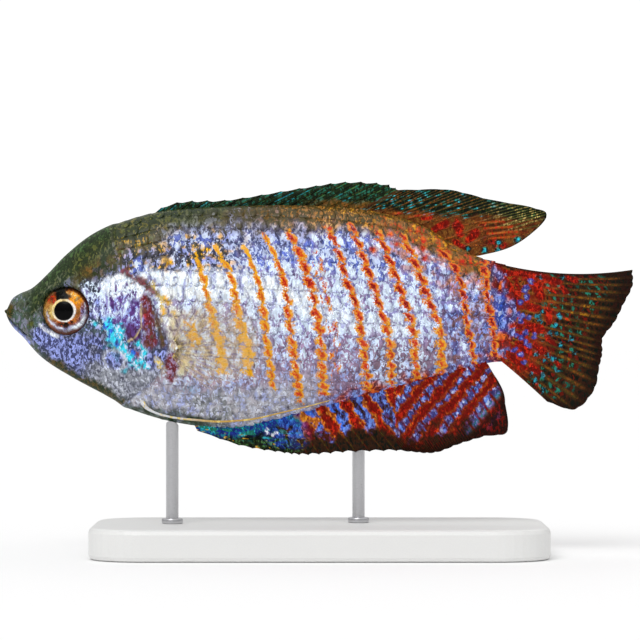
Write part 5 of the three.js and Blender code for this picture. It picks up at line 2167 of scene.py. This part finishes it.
@dataclass(frozen=True)
class Stand:
    """A satin white base with two slim steel rods, each in a low turned ring."""

    base_thickness: float = 4.0
    collar_radius: float = 1.35
    collar_height: float = 0.7
    collar_bevel: float = 0.2

    def build(self) -> None:
        """Dresses the base and the rods, and sets a collar where each rod enters the base."""
        white, steel = BOARD_FINISH.make(), ROD_FINISH.make()
        for name in ("stand_base", "stand_rod_front", "stand_rod_rear"):
            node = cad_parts[name]
            node.data.materials.clear()
            node.data.materials.append(white if name == "stand_base" else steel)
        for word in ("front", "rear"):
            low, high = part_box(f"stand_rod_{word}")
            level = (self.base_thickness + self.collar_height / 2) * MM
            Bench.clear()
            bpy.ops.mesh.primitive_cylinder_add(
                vertices=64, radius=self.collar_radius * MM, depth=self.collar_height * MM,
                location=((low.x + high.x) / 2, (low.y + high.y) / 2, level))
            piece = bpy.context.active_object
            piece.name = piece.data.name = f"rod_collar_{word}"
            bpy.ops.object.transform_apply(location=True, rotation=True, scale=True)
            Bench.finish_shape(piece, "BEVEL", width=self.collar_bevel * MM, segments=3,
                               limit_method="ANGLE")
            Bench.place(piece, "stand_rod", steel)
            Bench.pick(piece)
            bpy.ops.object.shade_smooth_by_angle(angle=math.radians(35))


@dataclass(frozen=True)
class Studio:
    """The camera, the pale floor and the soft light."""

    lens: float = 200.0
    sensor: float = 36.0
    half_view: float = 40.77
    camera_along: float = 0.06
    level: float = 30.0
    floor_size: float = 6.0
    floor_tone: float = 0.92
    floor_roughness: float = 0.8
    horizon: float = 0.2
    zenith: float = 1.25
    backdrop: float = 1.05
    key: float = 1.0
    key_width: float = 30.0
    key_from: tuple[float, float, float] = (-0.35, -0.85, 0.95)

    def camera(self) -> None:
        """Looks straight at the left flank, framed as in the photograph."""
        lens = bpy.data.cameras.new("camera")
        lens.lens, lens.sensor_width = self.lens, self.sensor
        lens.clip_start, lens.clip_end = 0.01, 50
        eye = bpy.data.objects.new("camera", lens)
        distance = self.half_view * MM * self.lens / (self.sensor / 2)
        eye.location = (self.camera_along * MM, -distance - 1 * MM, self.level * MM)
        eye.rotation_euler = (math.pi / 2, 0, 0)
        bpy.context.scene.collection.objects.link(eye)
        bpy.context.scene.camera = eye

    def light(self) -> None:
        """Lights the room: an even sky that shows as white, and a broad key light from far off."""
        scene = bpy.context.scene
        scene.world = bpy.data.worlds.new("studio")
        made = Wiring.new(scene.world)
        seen = made.value("LightPath", pick="Is Camera Ray")
        rise = made.node("SeparateXYZ", {0: made.value("TexCoord", pick="Generated")})[2].larger(0.0)
        strength = rise * (self.zenith - self.horizon) + self.horizon
        strength = strength.larger(seen * self.backdrop)
        sky = made.value("Background", {"Color": (1, 1, 1, 1), "Strength": strength})
        made.node("OutputWorld", {"Surface": sky})
        sun = bpy.data.lights.new("key", "SUN")
        sun.energy, sun.angle = self.key, math.radians(self.key_width)
        lamp = bpy.data.objects.new("key", sun)
        x, y, z = self.key_from
        lamp.rotation_euler = (math.atan2(math.hypot(x, y), z), 0, math.atan2(x, -y))
        scene.collection.objects.link(lamp)
        scene.view_settings.view_transform = "Standard"
        scene.view_settings.look = "None"

    def floor(self) -> None:
        """A plain pale floor."""
        Bench.clear()
        bpy.ops.mesh.primitive_plane_add(size=self.floor_size, location=(0, 0, 0))
        plane = bpy.context.active_object
        plane.name = "floor"
        material = bpy.data.materials.new("pale_floor")
        made = Wiring.new(material)
        shader = made.value("BsdfPrincipled", {
            "Base Color": (*[self.floor_tone] * 3, 1), "Roughness": self.floor_roughness})
        made.node("OutputMaterial", {"Surface": shader})
        plane.data.materials.append(material)


def main() -> None:
    """Builds the studio, the fish and its stand."""
    logging.basicConfig(level=logging.INFO, format="%(message)s")
    studio = Studio()
    studio.camera()
    studio.light()
    studio.floor()
    shared = {"flecked": Groups.flecked(), "scaling": Groups.scaling()}
    materials = {key: finish.make(shared) for key, finish in FINISHES.items()}
    form = BodyForm()
    rows = ScaleRows(form)
    marks = Markings(form, rows)
    skin = Skin(form, rows, marks)
    skin.build(materials["skin"])
    coat = ScaleCoat(form, rows, marks, skin)
    DORSAL.build(materials["fin"], "fin", "dorsal_fin")
    ANAL.build(materials["fin"], "fin", "anal_fin")
    TAIL.build(materials["fin"], "fin", "tail_fin")
    for flank in Flank:
        coat.build(flank, materials["scales"])
        Eye().build(flank, materials["eye"])
        pectoral = PectoralFin(
            f"pectoral_fin_sheet_{flank.word}", PECTORAL_GUIDES, spines=0, soft_rays=10, columns=180,
            steps=60, membrane=0.12, ray_width=(0.12, 0.07), ridge=0.1, flank=flank)
        pectoral.build(materials["clear_fin"], "clear_fin", f"pectoral_fin_{flank.word}")
        Feeler(form, flank).build(materials["feeler"])
    Stand().build()


if __name__ == "__main__":
    main()
